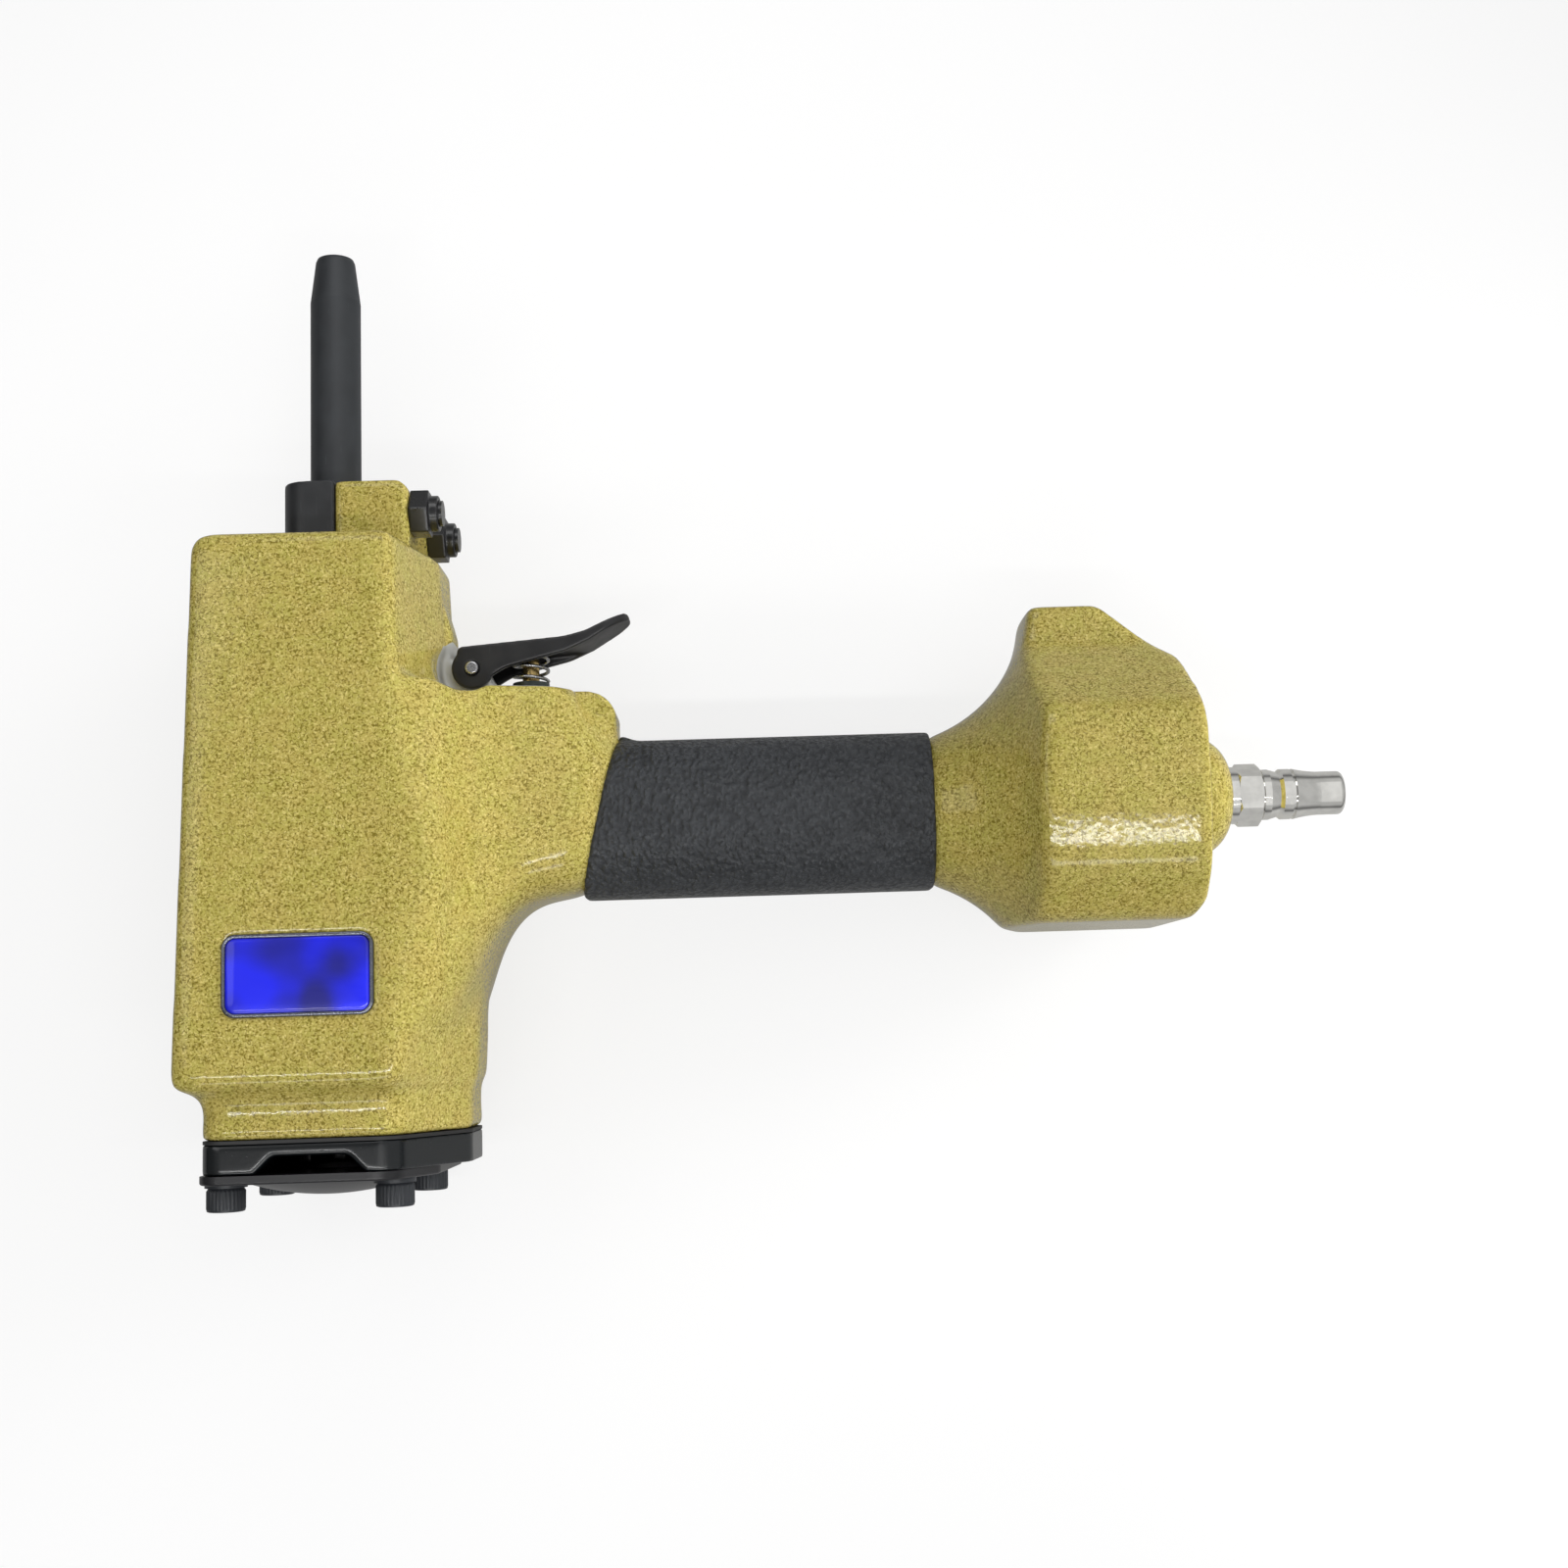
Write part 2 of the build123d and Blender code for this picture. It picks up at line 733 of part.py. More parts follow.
def air_plug():
    x = inlet_face + seat
    stem = [(x - plug_thread, plug_bore_r), (x - plug_thread, plug_thread_r), (x, plug_thread_r)]
    steps = [
        (0, plug_collar_r),
        (plug_collar, plug_collar_r),
        (0, plug_neck_r),
        (hex_thick + plug_neck, plug_neck_r),
        (0, plug_r),
        (plug_body, plug_r),
        (plug_dip, plug_dip_r),
        (plug_dip_rise, plug_r),
        (plug_land, plug_r),
        (0, plug_neck_r),
        (plug_groove, plug_neck_r),
        (0, plug_r),
    ]
    for length, radius in steps:
        x += length
        stem.append((x, radius))
    waist_end = x + plug_waist
    end = waist_end + plug_nose
    sag = (x + plug_waist / 2, (plug_r + plug_nose_r) / 2 - plug_waist_sag)
    nose_top = (end - plug_nose_round, plug_nose_r)
    nose_end = (end, plug_nose_r - plug_nose_round)
    profile = [
        Polyline(*stem),
        ThreePointArc((x, plug_r), sag, (waist_end, plug_nose_r)),
        Line((waist_end, plug_nose_r), nose_top),
        RadiusArc(nose_top, nose_end, plug_nose_round),
        Polyline(nose_end, (end, plug_bore_r), stem[0]),
    ]
    plug = revolve(make_face(profile), Axis.X)
    start = inlet_face + seat + plug_collar
    nut = along_x(RegularPolygon(hex_flats / 2, 6, major_radius=False), start, start + hex_thick)
    round_off = turned_x(
        [
            (start, 0),
            (start, hex_flats / 2),
            (start + hex_bevel, hex_flats / 2 + 2 * hex_bevel),
            (start + hex_thick - hex_bevel, hex_flats / 2 + 2 * hex_bevel),
            (start + hex_thick, hex_flats / 2),
            (start + hex_thick, 0),
        ]
    )
    return plug + ((nut & round_off) - rod_x(plug_bore_r, start, start + hex_thick))


def cylinder_cap():
    cap = along_y(flange_outline(), cap_low, cap_top)
    guide_r_in = valve_skirt_r + run
    cap += rod_y(guide_r_in + guide_wall, cap_low, guide_top_y)
    floor = seal_top - exhaust_seal
    cap -= rod_y(guide_r_in, floor, guide_top_y)
    cap -= rod_y(exhaust_r, cap_low, guide_top_y)
    slot_top = cap_low + slot_depth
    slot = [
        (slot_x - slot_inner, slot_top),
        (slot_x + slot_inner, slot_top),
        (slot_x + slot_outer, cap_low),
        (slot_x - slot_outer, cap_low),
    ]
    opening = across(polygon(slot), 0, flange_half)
    cap -= fillet(opening.edges().filter_by(Axis.Z).group_by(Axis.Y)[-1], slot_round)
    for x, z in screw_places:
        cap -= rod_y(screw_r + seat, cap_low, cap_top, x, z)
    cap -= rod_y(control_r, cap_top - control_depth, cap_top, control_x, control_z)
    return cap


def cap_gasket():
    gasket = along_y(flange_outline(), cap_top + seat / 2, flange_end - seat / 2)
    gasket -= rod_y(chamber_r, cap_top, flange_end)
    for x, z in screw_places:
        gasket -= rod_y(screw_r + seat, cap_top, flange_end, x, z)
    return gasket - rod_y(control_r, cap_top, flange_end, control_x, control_z)


def exhaust_cover():
    outline = cap_face(cover_left, cover_right, cover_turn_x, cover_half, cover_end_half)
    plate = along_y(outline, cover_low, cap_low - seat)
    plate = fillet(plate.edges().group_by(Axis.Y)[0], cover_edge)
    # Dished centre, a shell of a large ball
    ball_r = (dome_r**2 + dome_height**2) / (2 * dome_height)
    inner_r = ball_r - dome_wall
    middle_y = cover_low - dome_height + ball_r
    hole_r = math.sqrt(inner_r**2 - (ball_r - dome_height) ** 2)
    top = cap_low - seat

    def bowl(radius, place):
        return (place, middle_y - math.sqrt(radius**2 - place**2))

    profile = [
        ThreePointArc(bowl(ball_r, 0), bowl(ball_r, dome_r / 2), (dome_r, cover_low)),
        Polyline((dome_r, cover_low), (dome_r, top), (hole_r, top), (hole_r, cover_low)),
        ThreePointArc((hole_r, cover_low), bowl(inner_r, hole_r / 2), bowl(inner_r, 0)),
        Line(bowl(inner_r, 0), bowl(ball_r, 0)),
    ]
    plate -= rod_y(hole_r, cover_low, cap_low, screw_x)
    plate += Pos(screw_x, 0, 0) * revolve(make_face(profile), Axis.Y)
    for x, z in screw_places:
        plate -= rod_y(screw_r + seat, cover_low, cap_low, x, z)
    return plate


def cap_screw(x, z):
    shank = rod_y(screw_r, screw_seat, flange_end + screw_grip - free, x, z)
    head = rod_y(screw_head_r, screw_low, screw_seat, x, z)
    shape = Pos(x, z) * RegularPolygon(socket_flats / 2, 6, major_radius=False)
    socket = along_y(shape, screw_low, screw_low + socket_depth)
    rim = [e for e in head.edges() if abs(e.center().Y - screw_low) < seat]
    return shank + fillet(rim, screw_head_round) - socket


def cap_washer(x, z):
    return tube_y(washer_r, screw_r + seat, screw_seat, cover_low, x, z)


def nose_plate():
    points = [
        (nose_left, nose_half),
        (nose_split_x - seat, nose_half),
        (nose_split_x - seat, -nose_half),
        (nose_left, -nose_half),
    ]
    outline = rounded(points, [nose_round, nose_edge, nose_edge, nose_round])
    plate = along_y(outline, head_top + seat, nose_top)
    plate -= rod_y(guide_r + seat, head_top, guide_top + seat)
    plate -= rod_y(nozzle_r + seat, head_top, nose_top)
    groove = head_top + collar_rise
    plate -= rod_y(collar_r + seat, groove - seat, groove + collar_thick + seat)
    hole = nose_split_x - nose_stud_depth
    for z in (-nose_bolt_z, nose_bolt_z):
        plate -= rod_x(nose_stud_r + seat, hole, nose_split_x, nose_bolt_y, z)
    return plate


def nozzle_tube():
    low = guide_top + 2 * seat
    profile = [
        (driver_r + free, low),
        (nozzle_r, low),
        (nozzle_r, head_top + collar_rise),
        (collar_r, head_top + collar_rise),
        (collar_r, head_top + collar_rise + collar_thick),
        (nozzle_r, head_top + collar_rise + collar_thick),
        (nozzle_r, nozzle_tip - nozzle_taper),
        (nozzle_tip_r, nozzle_tip - nozzle_tip_round),
        (nozzle_tip_r - nozzle_tip_round * 0.3, nozzle_tip - nozzle_tip_round * 0.3),
        (nozzle_tip_r - nozzle_tip_round, nozzle_tip),
        (mouth_r, nozzle_tip),
        (mouth_r, nozzle_tip - mouth_length),
        (driver_r + free, nozzle_tip - mouth_length),
    ]
    return turned_y(profile)


def nose_stud(z):
    start = nose_split_x - nose_stud_depth + free
    end = nose_right + nut_thick + nut_collar + stud_end
    return rod_x(nose_stud_r, start, end, nose_bolt_y, z)


def nose_nut(z):
    face = nose_right + seat
    shape = Pos(nose_bolt_y, z) * Rot(0, 0, 30) * RegularPolygon(nut_flats / 2, 6, major_radius=False)
    nut = along_x(shape, face, face + nut_thick)
    nut += rod_x(nut_collar_r, face, face + nut_thick + nut_collar, nose_bolt_y, z)
    return nut - rod_x(nose_stud_r + seat, face, face + nut_thick + nut_collar, nose_bolt_y, z)


def driver_guide():
    return tube_y(guide_r, driver_r + run, bumper_seat + seat, guide_top)


def sleeve_land_places():
    """Middle of each land that seals the sleeve in the casting."""
    upper = bumper_seat - land_length / 2 - seat
    lower = handle_y + reservoir_r + land_margin + land_length / 2
    return [upper, lower]


def cylinder_sleeve():
    sleeve = rod_y(sleeve_r, sleeve_rim, bumper_seat - seat)
    middle = chamber_r - seat - ring_wire_r
    for y in sleeve_land_places():
        sleeve += rod_y(chamber_r - seat, y - land_length / 2, y + land_length / 2)
        sleeve -= groove_y(middle, ring_wire_r, y, 2 * ring_wire_r)
    sleeve -= rod_y(bore_r, sleeve_rim, bumper_seat)
    for y in (bumper_back - return_hole_drop, return_band_y()):
        for turn in range(4):
            sleeve -= Rot(0, 45 * turn, 0) * rod_x(return_hole_r, -chamber_r, chamber_r, y)
    return sleeve


def sleeve_seals():
    middle = chamber_r - seat - ring_wire_r
    return [ring_y(middle, ring_wire_r, y) for y in sleeve_land_places()]


def return_band_y():
    """Middle of the band over the return holes, above the lower land."""
    return sleeve_land_places()[1] + land_length / 2 + band_half + free


def return_band():
    y = return_band_y()
    return tube_y(sleeve_r + band_thick, sleeve_r + seat, y - band_half, y + band_half)


def bumper():
    profile = [
        (bumper_hole_r, bumper_back),
        (bore_r - bumper_bevel, bumper_back),
        (bore_r - seat, bumper_back + bumper_bevel),
        (bore_r - seat, bumper_seat - seat),
        (bumper_hole_r, bumper_seat - seat),
    ]
    return turned_y(profile)


def piston():
    body = rod_y(bore_r - free, piston_back, piston_front)
    body -= rod_y(nut_room_r, piston_back, piston_back + nut_room)
    body -= rod_y(driver_r + seat, piston_back, piston_front)
    ring = bore_r - run - piston_ring_wire_r
    return body - groove_y(ring, piston_ring_wire_r, piston_ring_y(), 2 * piston_ring_wire_r)


def piston_ring_y():
    return piston_front - piston_ring_drop


def piston_seal():
    return ring_y(bore_r - run - piston_ring_wire_r, piston_ring_wire_r, piston_ring_y())


def driver_rod():
    tip = nozzle_tip - tip_margin - stroke
    rod = rod_y(driver_r, piston_back + driver_thread_end, tip)
    return rod + rod_y(driver_shoulder_r, piston_front + seat, piston_front + driver_shoulder)


def driver_nut():
    high = piston_back + nut_room - seat
    low = high - driver_nut_thick
    nut = along_y(RegularPolygon(driver_nut_flats / 2, 6, major_radius=False), low, high)
    return nut - rod_y(driver_r + seat, low, high)


def head_valve():
    disc_top = valve_face_y - valve_face
    valve = rod_y(valve_disc_r, disc_low, disc_top)
    valve += rod_y(valve_skirt_r, skirt_low, disc_low)
    valve -= rod_y(valve_skirt_r - valve_skirt_wall, skirt_low, disc_low)
    return valve - rod_y(valve_hole_r, disc_low, disc_top)


def head_valve_face():
    disc_top = valve_face_y - valve_face
    return tube_y(valve_disc_r, valve_hole_r + valve_face_rim, disc_top + seat, valve_face_y)


def head_valve_spring():
    return spring_y(valve_spring_r, valve_spring_wire_r, valve_spring_turns, cap_top, disc_low)


def exhaust_seal_ring():
    low = seal_top - exhaust_seal
    return tube_y(valve_skirt_r - seat, exhaust_r, low + seat, seal_top)


def web_roof():
    """Corners of the roof of the lever's channel, from its open end to its tip."""
    left = pivot_x - 2 * boss_r
    low = pivot_y + lever_points[0][1] - web
    return [
        (left, low - lever_web_tip),
        (pivot_x + lever_web_bend, low + lever_web_rise - lever_web_tip),
        (pivot_x + lever_web_end, low + lever_web_rise),
    ]


def lever_plan():
    """The lever's outline across the tool, rounded at the finger pad's end."""
    tip = pivot_x + max(x for x, _, _ in lever_points)
    tail = pivot_x - boss_r - lever_tip_round
    sides = [(tail, -lever_half), (tip, -lever_half), (tip, lever_half), (tail, lever_half)]
    return rounded(sides, [lever_tip_round] * len(sides))


def trigger_lever():
    points = [(pivot_x + x, pivot_y + y) for x, y, _ in lever_points]
    radii = [radius for _, _, radius in lever_points]
    heights = [y for _, y in points]
    lever = across(rounded(points, radii), -lever_half, lever_half)
    lever &= along_y(lever_plan(), min(heights) - boss_r, max(heights) + boss_r)
    lever += rod_z(boss_r, -lever_half, lever_half, pivot_x, pivot_y)
    inner = lever_half - cheek
    channel = web_roof()
    floor = pivot_y - 2 * boss_r
    channel += [(channel[-1][0], floor), (channel[0][0], floor)]
    lever -= across(polygon(channel), -inner, inner)
    return lever - rod_z(pin_r + run, -lever_half, lever_half, pivot_x, pivot_y)


def trigger_pin():
    pin = rod_z(pin_r, -pin_half, pin_half, pivot_x, pivot_y)
    return fillet(pin.edges().filter_by(GeomType.CIRCLE), pin_end_round)


def lever_underside():
    """Height of the channel's roof over the valve stem."""
    (left, low), (bend, high), _ = web_roof()
    return low + (high - low) * (stem_x - left) / (bend - left)


def valve_stem():
    top = lever_underside() - free
    poppet = bushing_low + bushing_chamber - poppet_room
    stem = rod_y(stem_r, poppet - stem_poppet - stem_tail, top - stem_r, stem_x)
    stem += Pos(stem_x, top - stem_r, 0) * Sphere(stem_r)
    return stem + rod_y(stem_poppet_r, poppet - stem_poppet, poppet, stem_x)


def valve_bushing():
    bushing = rod_y(bushing_r, bushing_low, platform_y, stem_x)
    bushing += rod_y(bushing_neck_r, platform_y, bushing_top, stem_x)
    bushing -= rod_y(bushing_chamber_r, bushing_low, bushing_low + bushing_chamber, stem_x)
    bushing -= rod_y(stem_r + run, bushing_low, bushing_top, stem_x)
    ring = bushing_r - ring_wire_r
    for y in bushing_ring_places():
        bushing -= Pos(stem_x, 0, 0) * groove_y(ring, ring_wire_r, y, 2 * ring_wire_r)
    return bushing - control_drill()


def bushing_ring_places():
    return [platform_y - bushing_ring_top, bushing_low + bushing_ring_low]


def bushing_seals():
    middle = bushing_r - ring_wire_r
    return [ring_y(middle, ring_wire_r, y, stem_x) for y in bushing_ring_places()]


def valve_seat_disc():
    low = bushing_low - valve_seat_thick + seat
    return tube_y(bushing_r, valve_port_r, low, bushing_low - seat, stem_x)


def lever_spring():
    return spring_y(
        lever_spring_r,
        lever_spring_wire_r,
        lever_spring_turns,
        bushing_top,
        lever_underside() - free,
        stem_x,
    )


def seat_spring():
    poppet_low = bushing_low + bushing_chamber - poppet_room - stem_poppet
    return spring_y(
        seat_spring_r,
        seat_spring_wire_r,
        seat_spring_turns,
        bushing_low - seat,
        poppet_low,
        stem_x,
    )


def nameplate():
    face = Pos(plate_x, plate_y) * RectangleRounded(plate_width, plate_height, plate_round)
    low = head_half - plate_recess + seat
    plate = across(face, low, low + plate_thick)
    rim = [e for e in plate.edges() if e.center().Z > low + plate_thick - seat]
    return chamfer(rim, plate_bevel)


nodes = {
    "body_casting": body_casting(),
    "grip_sleeve": grip_sleeve(),
    "inlet_cap": inlet_cap(),
    "inlet_seal": inlet_seal(),
    "air_plug": air_plug(),
    "cylinder_cap": cylinder_cap(),
    "cap_gasket": cap_gasket(),
    "exhaust_cover": exhaust_cover(),
    "cap_screws": [cap_screw(x, z) for x, z in screw_places],
    "cap_washers": [cap_washer(x, z) for x, z in screw_places],
    "nose_plate": nose_plate(),
    "nozzle_tube": nozzle_tube(),
    "nose_studs": [nose_stud(z) for z in (-nose_bolt_z, nose_bolt_z)],
    "nose_nuts": [nose_nut(z) for z in (-nose_bolt_z, nose_bolt_z)],
    "driver_guide": driver_guide(),
    "cylinder_sleeve": cylinder_sleeve(),
    "sleeve_seals": sleeve_seals(),
    "return_band": return_band(),
    "bumper": bumper(),
    "piston": piston(),
    "piston_seal": piston_seal(),
    "driver_rod": driver_rod(),
    "driver_nut": driver_nut(),
    "head_valve": head_valve(),
    "head_valve_face": head_valve_face(),
    "head_valve_spring": head_valve_spring(),
    "exhaust_seal": exhaust_seal_ring(),
    "trigger_lever": trigger_lever(),
    "trigger_pin": trigger_pin(),
    "trigger_spring": lever_spring(),
    "valve_stem": valve_stem(),
    "valve_bushing": valve_bushing(),
    "bushing_seals": bushing_seals(),
    "valve_seat": valve_seat_disc(),
    "valve_spring": seat_spring(),
    "nameplate": nameplate(),
}

# The part's own frame has its origin under the middle of the box around it
solids = {}
for name, shape in nodes.items():
    pieces = shape if isinstance(shape, list) else [shape]
    solids[name] = [solid for piece in pieces for solid in piece.solids()]
box = Compound([solid for group in solids.values() for solid in group]).bounding_box()
place = Pos(-box.center().X, -box.center().Y, -box.min.Z)
print(f"size {box.size}, placed {place.position}")

os.makedirs("parts", exist_ok=True)
for name, group in solids.items():
    export_step(Compound([place * solid for solid in group]), f"parts/{name}.step")
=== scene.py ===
import json
import math

import bpy
import numpy as np
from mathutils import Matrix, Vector


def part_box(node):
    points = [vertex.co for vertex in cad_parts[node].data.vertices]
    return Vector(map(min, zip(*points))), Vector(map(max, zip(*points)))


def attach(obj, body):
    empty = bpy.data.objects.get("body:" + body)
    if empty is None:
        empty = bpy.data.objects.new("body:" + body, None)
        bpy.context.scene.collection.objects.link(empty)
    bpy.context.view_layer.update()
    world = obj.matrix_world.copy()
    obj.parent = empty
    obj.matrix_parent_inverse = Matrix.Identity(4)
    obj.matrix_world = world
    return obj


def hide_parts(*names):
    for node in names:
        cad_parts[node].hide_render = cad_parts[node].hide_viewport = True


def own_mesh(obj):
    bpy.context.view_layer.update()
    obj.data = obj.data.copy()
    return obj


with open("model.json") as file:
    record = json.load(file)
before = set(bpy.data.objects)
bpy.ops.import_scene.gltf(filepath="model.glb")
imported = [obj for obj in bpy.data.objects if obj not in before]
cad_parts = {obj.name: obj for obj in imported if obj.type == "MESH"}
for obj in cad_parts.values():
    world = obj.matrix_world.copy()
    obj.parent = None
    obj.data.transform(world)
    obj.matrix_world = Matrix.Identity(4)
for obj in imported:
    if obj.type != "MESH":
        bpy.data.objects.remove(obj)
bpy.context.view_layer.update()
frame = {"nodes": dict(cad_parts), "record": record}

nodes = frame["nodes"]
scene = bpy.context.scene

# places below are millimetres from the cylinder's axis (x, z) and the air plug's axis (y)
axisX = sum(c.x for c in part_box("cylinder_sleeve")) / 2
plugY = sum(c.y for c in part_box("air_plug")) / 2
axisZ = sum(c.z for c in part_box("cylinder_sleeve")) / 2
perMetre = 1000  # millimetres
white = (1.0, 1.0, 1.0, 1.0)


def at(x, y, z):
    return Vector((axisX + x / perMetre, plugY + y / perMetre, axisZ + z / perMetre))


def srgb(r, g, b):
    # a colour as it reads on screen, turned into the linear one that a shader takes
    return tuple(c / 12.92 if c <= 0.04045 else ((c + 0.055) / 1.055) ** 2.4 for c in (r, g, b)) + (1.0,)


def toned(colour, factor):
    return tuple(min(1.0, c * factor) for c in colour[:3]) + (1.0,)


print("frame loaded,", len(nodes), "nodes")

# a noise is at its middle on average, and most of it lies in its span
noiseMiddle = 0.5
noiseSpan = (0.3, 0.7)


# shader maths: a wire is one output socket, and an expression on wires adds its Math nodes
class Wire:
    def __init__(self, shade, socket):
        self.shade = shade
        self.socket = socket

    def math(self, operation, *values):
        return self.shade.node("ShaderNodeMath", {"operation": operation}, dict(enumerate(values)))

    def __add__(self, other):
        return self.math("ADD", self, other)

    def __sub__(self, other):
        return self.math("SUBTRACT", self, other)

    def __rsub__(self, other):
        return self.math("SUBTRACT", other, self)

    def __mul__(self, other):
        return self.math("MULTIPLY", self, other)

    __radd__ = __add__
    __rmul__ = __mul__

    def within(self, middle, reach):
        # 1 where the value is nearer to the middle than the reach
        return self.math("COMPARE", self, middle, reach)

    def ramp(self, low, high, start=0.0, end=1.0):
        return self.shade.node(
            "ShaderNodeMapRange",
            {"interpolation_type": "SMOOTHSTEP"},
            {"Value": self, "From Min": low, "From Max": high, "To Min": start, "To Max": end},
        )

    def tint(self, first, second):
        return self.shade.node("ShaderNodeMix", {"data_type": "RGBA"}, {0: self, 6: first, 7: second}, 2)


class Shade:
    def __init__(self, name, owners=None):
        self.material = (bpy.data.materials if owners is None else owners).new(name)
        self.material.use_nodes = True
        self.tree = self.material.node_tree
        self.tree.nodes.clear()

    def node(self, kind, settings=None, sockets=None, output=0):
        made = self.tree.nodes.new(kind)
        for key, value in (settings or {}).items():
            setattr(made, key, value)
        for key, value in (sockets or {}).items():
            if isinstance(value, Wire):
                self.tree.links.new(value.socket, made.inputs[key])
            else:
                made.inputs[key].default_value = value
        return Wire(self, made.outputs[output])

    def place(self):
        # the point on the piece, in millimetres, so a pattern's scale is in repeats per millimetre
        spot = self.node("ShaderNodeTexCoord", output="Object")
        return self.node("ShaderNodeVectorMath", {"operation": "SCALE"}, {0: spot, "Scale": perMetre})

    def part(self, vector, axis):
        return self.node("ShaderNodeSeparateXYZ", None, {0: vector}, axis)

    def noise(self, spot, scale, detail=2.0, rough=0.5):
        return self.node("ShaderNodeTexNoise", None,
                         {"Vector": spot, "Scale": scale, "Detail": detail, "Roughness": rough})

    def cells(self, spot, scale, feature):
        return self.node("ShaderNodeTexVoronoi", {"feature": feature},
                         {"Vector": spot, "Scale": scale}, "Distance")

    def warp(self, spot, scale, reach):
        # the same point, pushed about by a soft noise
        push = self.node("ShaderNodeTexNoise", None, {"Vector": spot, "Scale": scale, "Detail": 1.0}, "Color")
        push = self.node("ShaderNodeVectorMath", {"operation": "SUBTRACT"}, {0: push, 1: (noiseMiddle,) * 3})
        push = self.node("ShaderNodeVectorMath", {"operation": "SCALE"}, {0: push, "Scale": reach})
        return self.node("ShaderNodeVectorMath", {"operation": "ADD"}, {0: spot, 1: push})

    def stretch(self, spot, factors):
        return self.node("ShaderNodeVectorMath", {"operation": "MULTIPLY"}, {0: spot, 1: factors})

    def bump(self, height, depth, strength=1.0):
        # depth in millimetres
        return self.node("ShaderNodeBump", None,
                         {"Height": height, "Distance": depth / perMetre, "Strength": strength})

    def finish(self, sockets):
        return self.show(self.node("ShaderNodeBsdfPrincipled", None, sockets))

    def show(self, skin, kind="ShaderNodeOutputMaterial"):
        end = self.tree.nodes.new(kind)
        self.tree.links.new(skin.socket, end.inputs["Surface"])
        return self.material


# hammertone paint: gold lacquer, dark pits and broken veins half a millimetre wide, pale grains between
# them, and a gloss that ripples; scales are in repeats per millimetre, depth and reach in millimetres
hammertone = {
    "gold": srgb(0.716, 0.65, 0.345),
    "green": srgb(0.697, 0.653, 0.33),
    "olive": srgb(0.40, 0.34, 0.05),
    "straw": srgb(0.85, 0.79, 0.49),
    "bendScale": 0.9, "bendReach": 0.9,
    "patchScale": 0.11, "patchShare": (0.72, 0.88),
    "driftScale": 0.16, "driftRange": (0.35, 0.65),
    "pitScale": 1.75, "pitRange": (0.36, 0.52), "pitShare": 0.9,
    "veinScale": 1.05, "veinWidth": 0.16, "veinBreak": 0.9, "veinRange": (0.44, 0.56), "veinShare": 0.6,
    "darkest": 1.1, "fineness": 0.6,
    "grainScale": 1.9, "grainRange": (0.5, 0.66), "grainMirror": (1.0, 1.0, -1.0),
    "rippleScale": 0.7, "pitDrop": 0.04, "depth": 0.028,
    "gloss": 0.08, "pitGloss": 0.06, "specular": 0.3,
}
# the lever's milled seat is left bare: the middle of the pocket at its pin, and the flat under it
milledSeat = {
    "pivot": (33.3, 34.7), "radius": 8.55, "half": 8.0,
    "top": 28.3, "left": 38.0, "right": 57.4, "skin": 0.35,
    "metal": srgb(0.80, 0.80, 0.78), "metalShare": 0.5, "gloss": 0.3,
}


def milledArea(shade, spot):
    # 1 where the seat is bare, 0 where it is painted
    pivot = at(*milledSeat["pivot"], 0) * perMetre
    x = shade.part(spot, "X") - pivot.x
    y = shade.part(spot, "Y") - pivot.y
    z = shade.part(spot, "Z") - pivot.z
    away = x * x + y * y
    pocket = away.math("LESS_THAN", away, milledSeat["radius"] ** 2) * z.within(0.0, milledSeat["half"])
    middle = (milledSeat["left"] + milledSeat["right"]) / 2 - milledSeat["pivot"][0]
    reach = (milledSeat["right"] - milledSeat["left"]) / 2
    flat = x.within(middle, reach) * y.within(milledSeat["top"] - milledSeat["pivot"][1], milledSeat["skin"])
    return pocket.math("MAXIMUM", pocket, flat)


def hammertonePaint():
    look = hammertone
    shade = Shade("hammertonePaint")
    spot = shade.place()
    bent = shade.warp(spot, look["bendScale"], look["bendReach"])
    apart = shade.stretch(bent, look["grainMirror"])
    patch = shade.noise(spot, look["patchScale"]).ramp(*noiseSpan, *look["patchShare"])
    drift = shade.noise(spot, look["driftScale"]).ramp(*look["driftRange"])
    pits = 1 - shade.noise(bent, look["pitScale"], rough=look["fineness"]).ramp(*look["pitRange"])
    veins = shade.cells(bent, look["veinScale"], "DISTANCE_TO_EDGE").ramp(0.0, look["veinWidth"], 1.0, 0.0)
    veins = veins * shade.noise(spot, look["veinBreak"]).ramp(*look["veinRange"])
    grains = shade.noise(apart, look["grainScale"], rough=look["fineness"]).ramp(*look["grainRange"]) * patch
    dark = (pits * look["pitShare"] + veins * look["veinShare"]).ramp(0.0, look["darkest"]) * patch
    ripple = shade.noise(bent, look["rippleScale"], detail=0.0)
    bare = milledArea(shade, spot)
    colour = grains.tint(drift.tint(look["gold"], look["green"]), look["straw"])
    colour = dark.tint(colour, look["olive"])
    height = (ripple - dark * look["pitDrop"]) * (1 - bare)
    return shade.finish({
        "Base Color": bare.tint(colour, milledSeat["metal"]),
        "Metallic": bare * milledSeat["metalShare"],
        "Roughness": dark * look["pitGloss"] + look["gloss"] + bare * milledSeat["gloss"],
        "Normal": shade.bump(height, look["depth"]),
        "Specular IOR Level": look["specular"],
    })


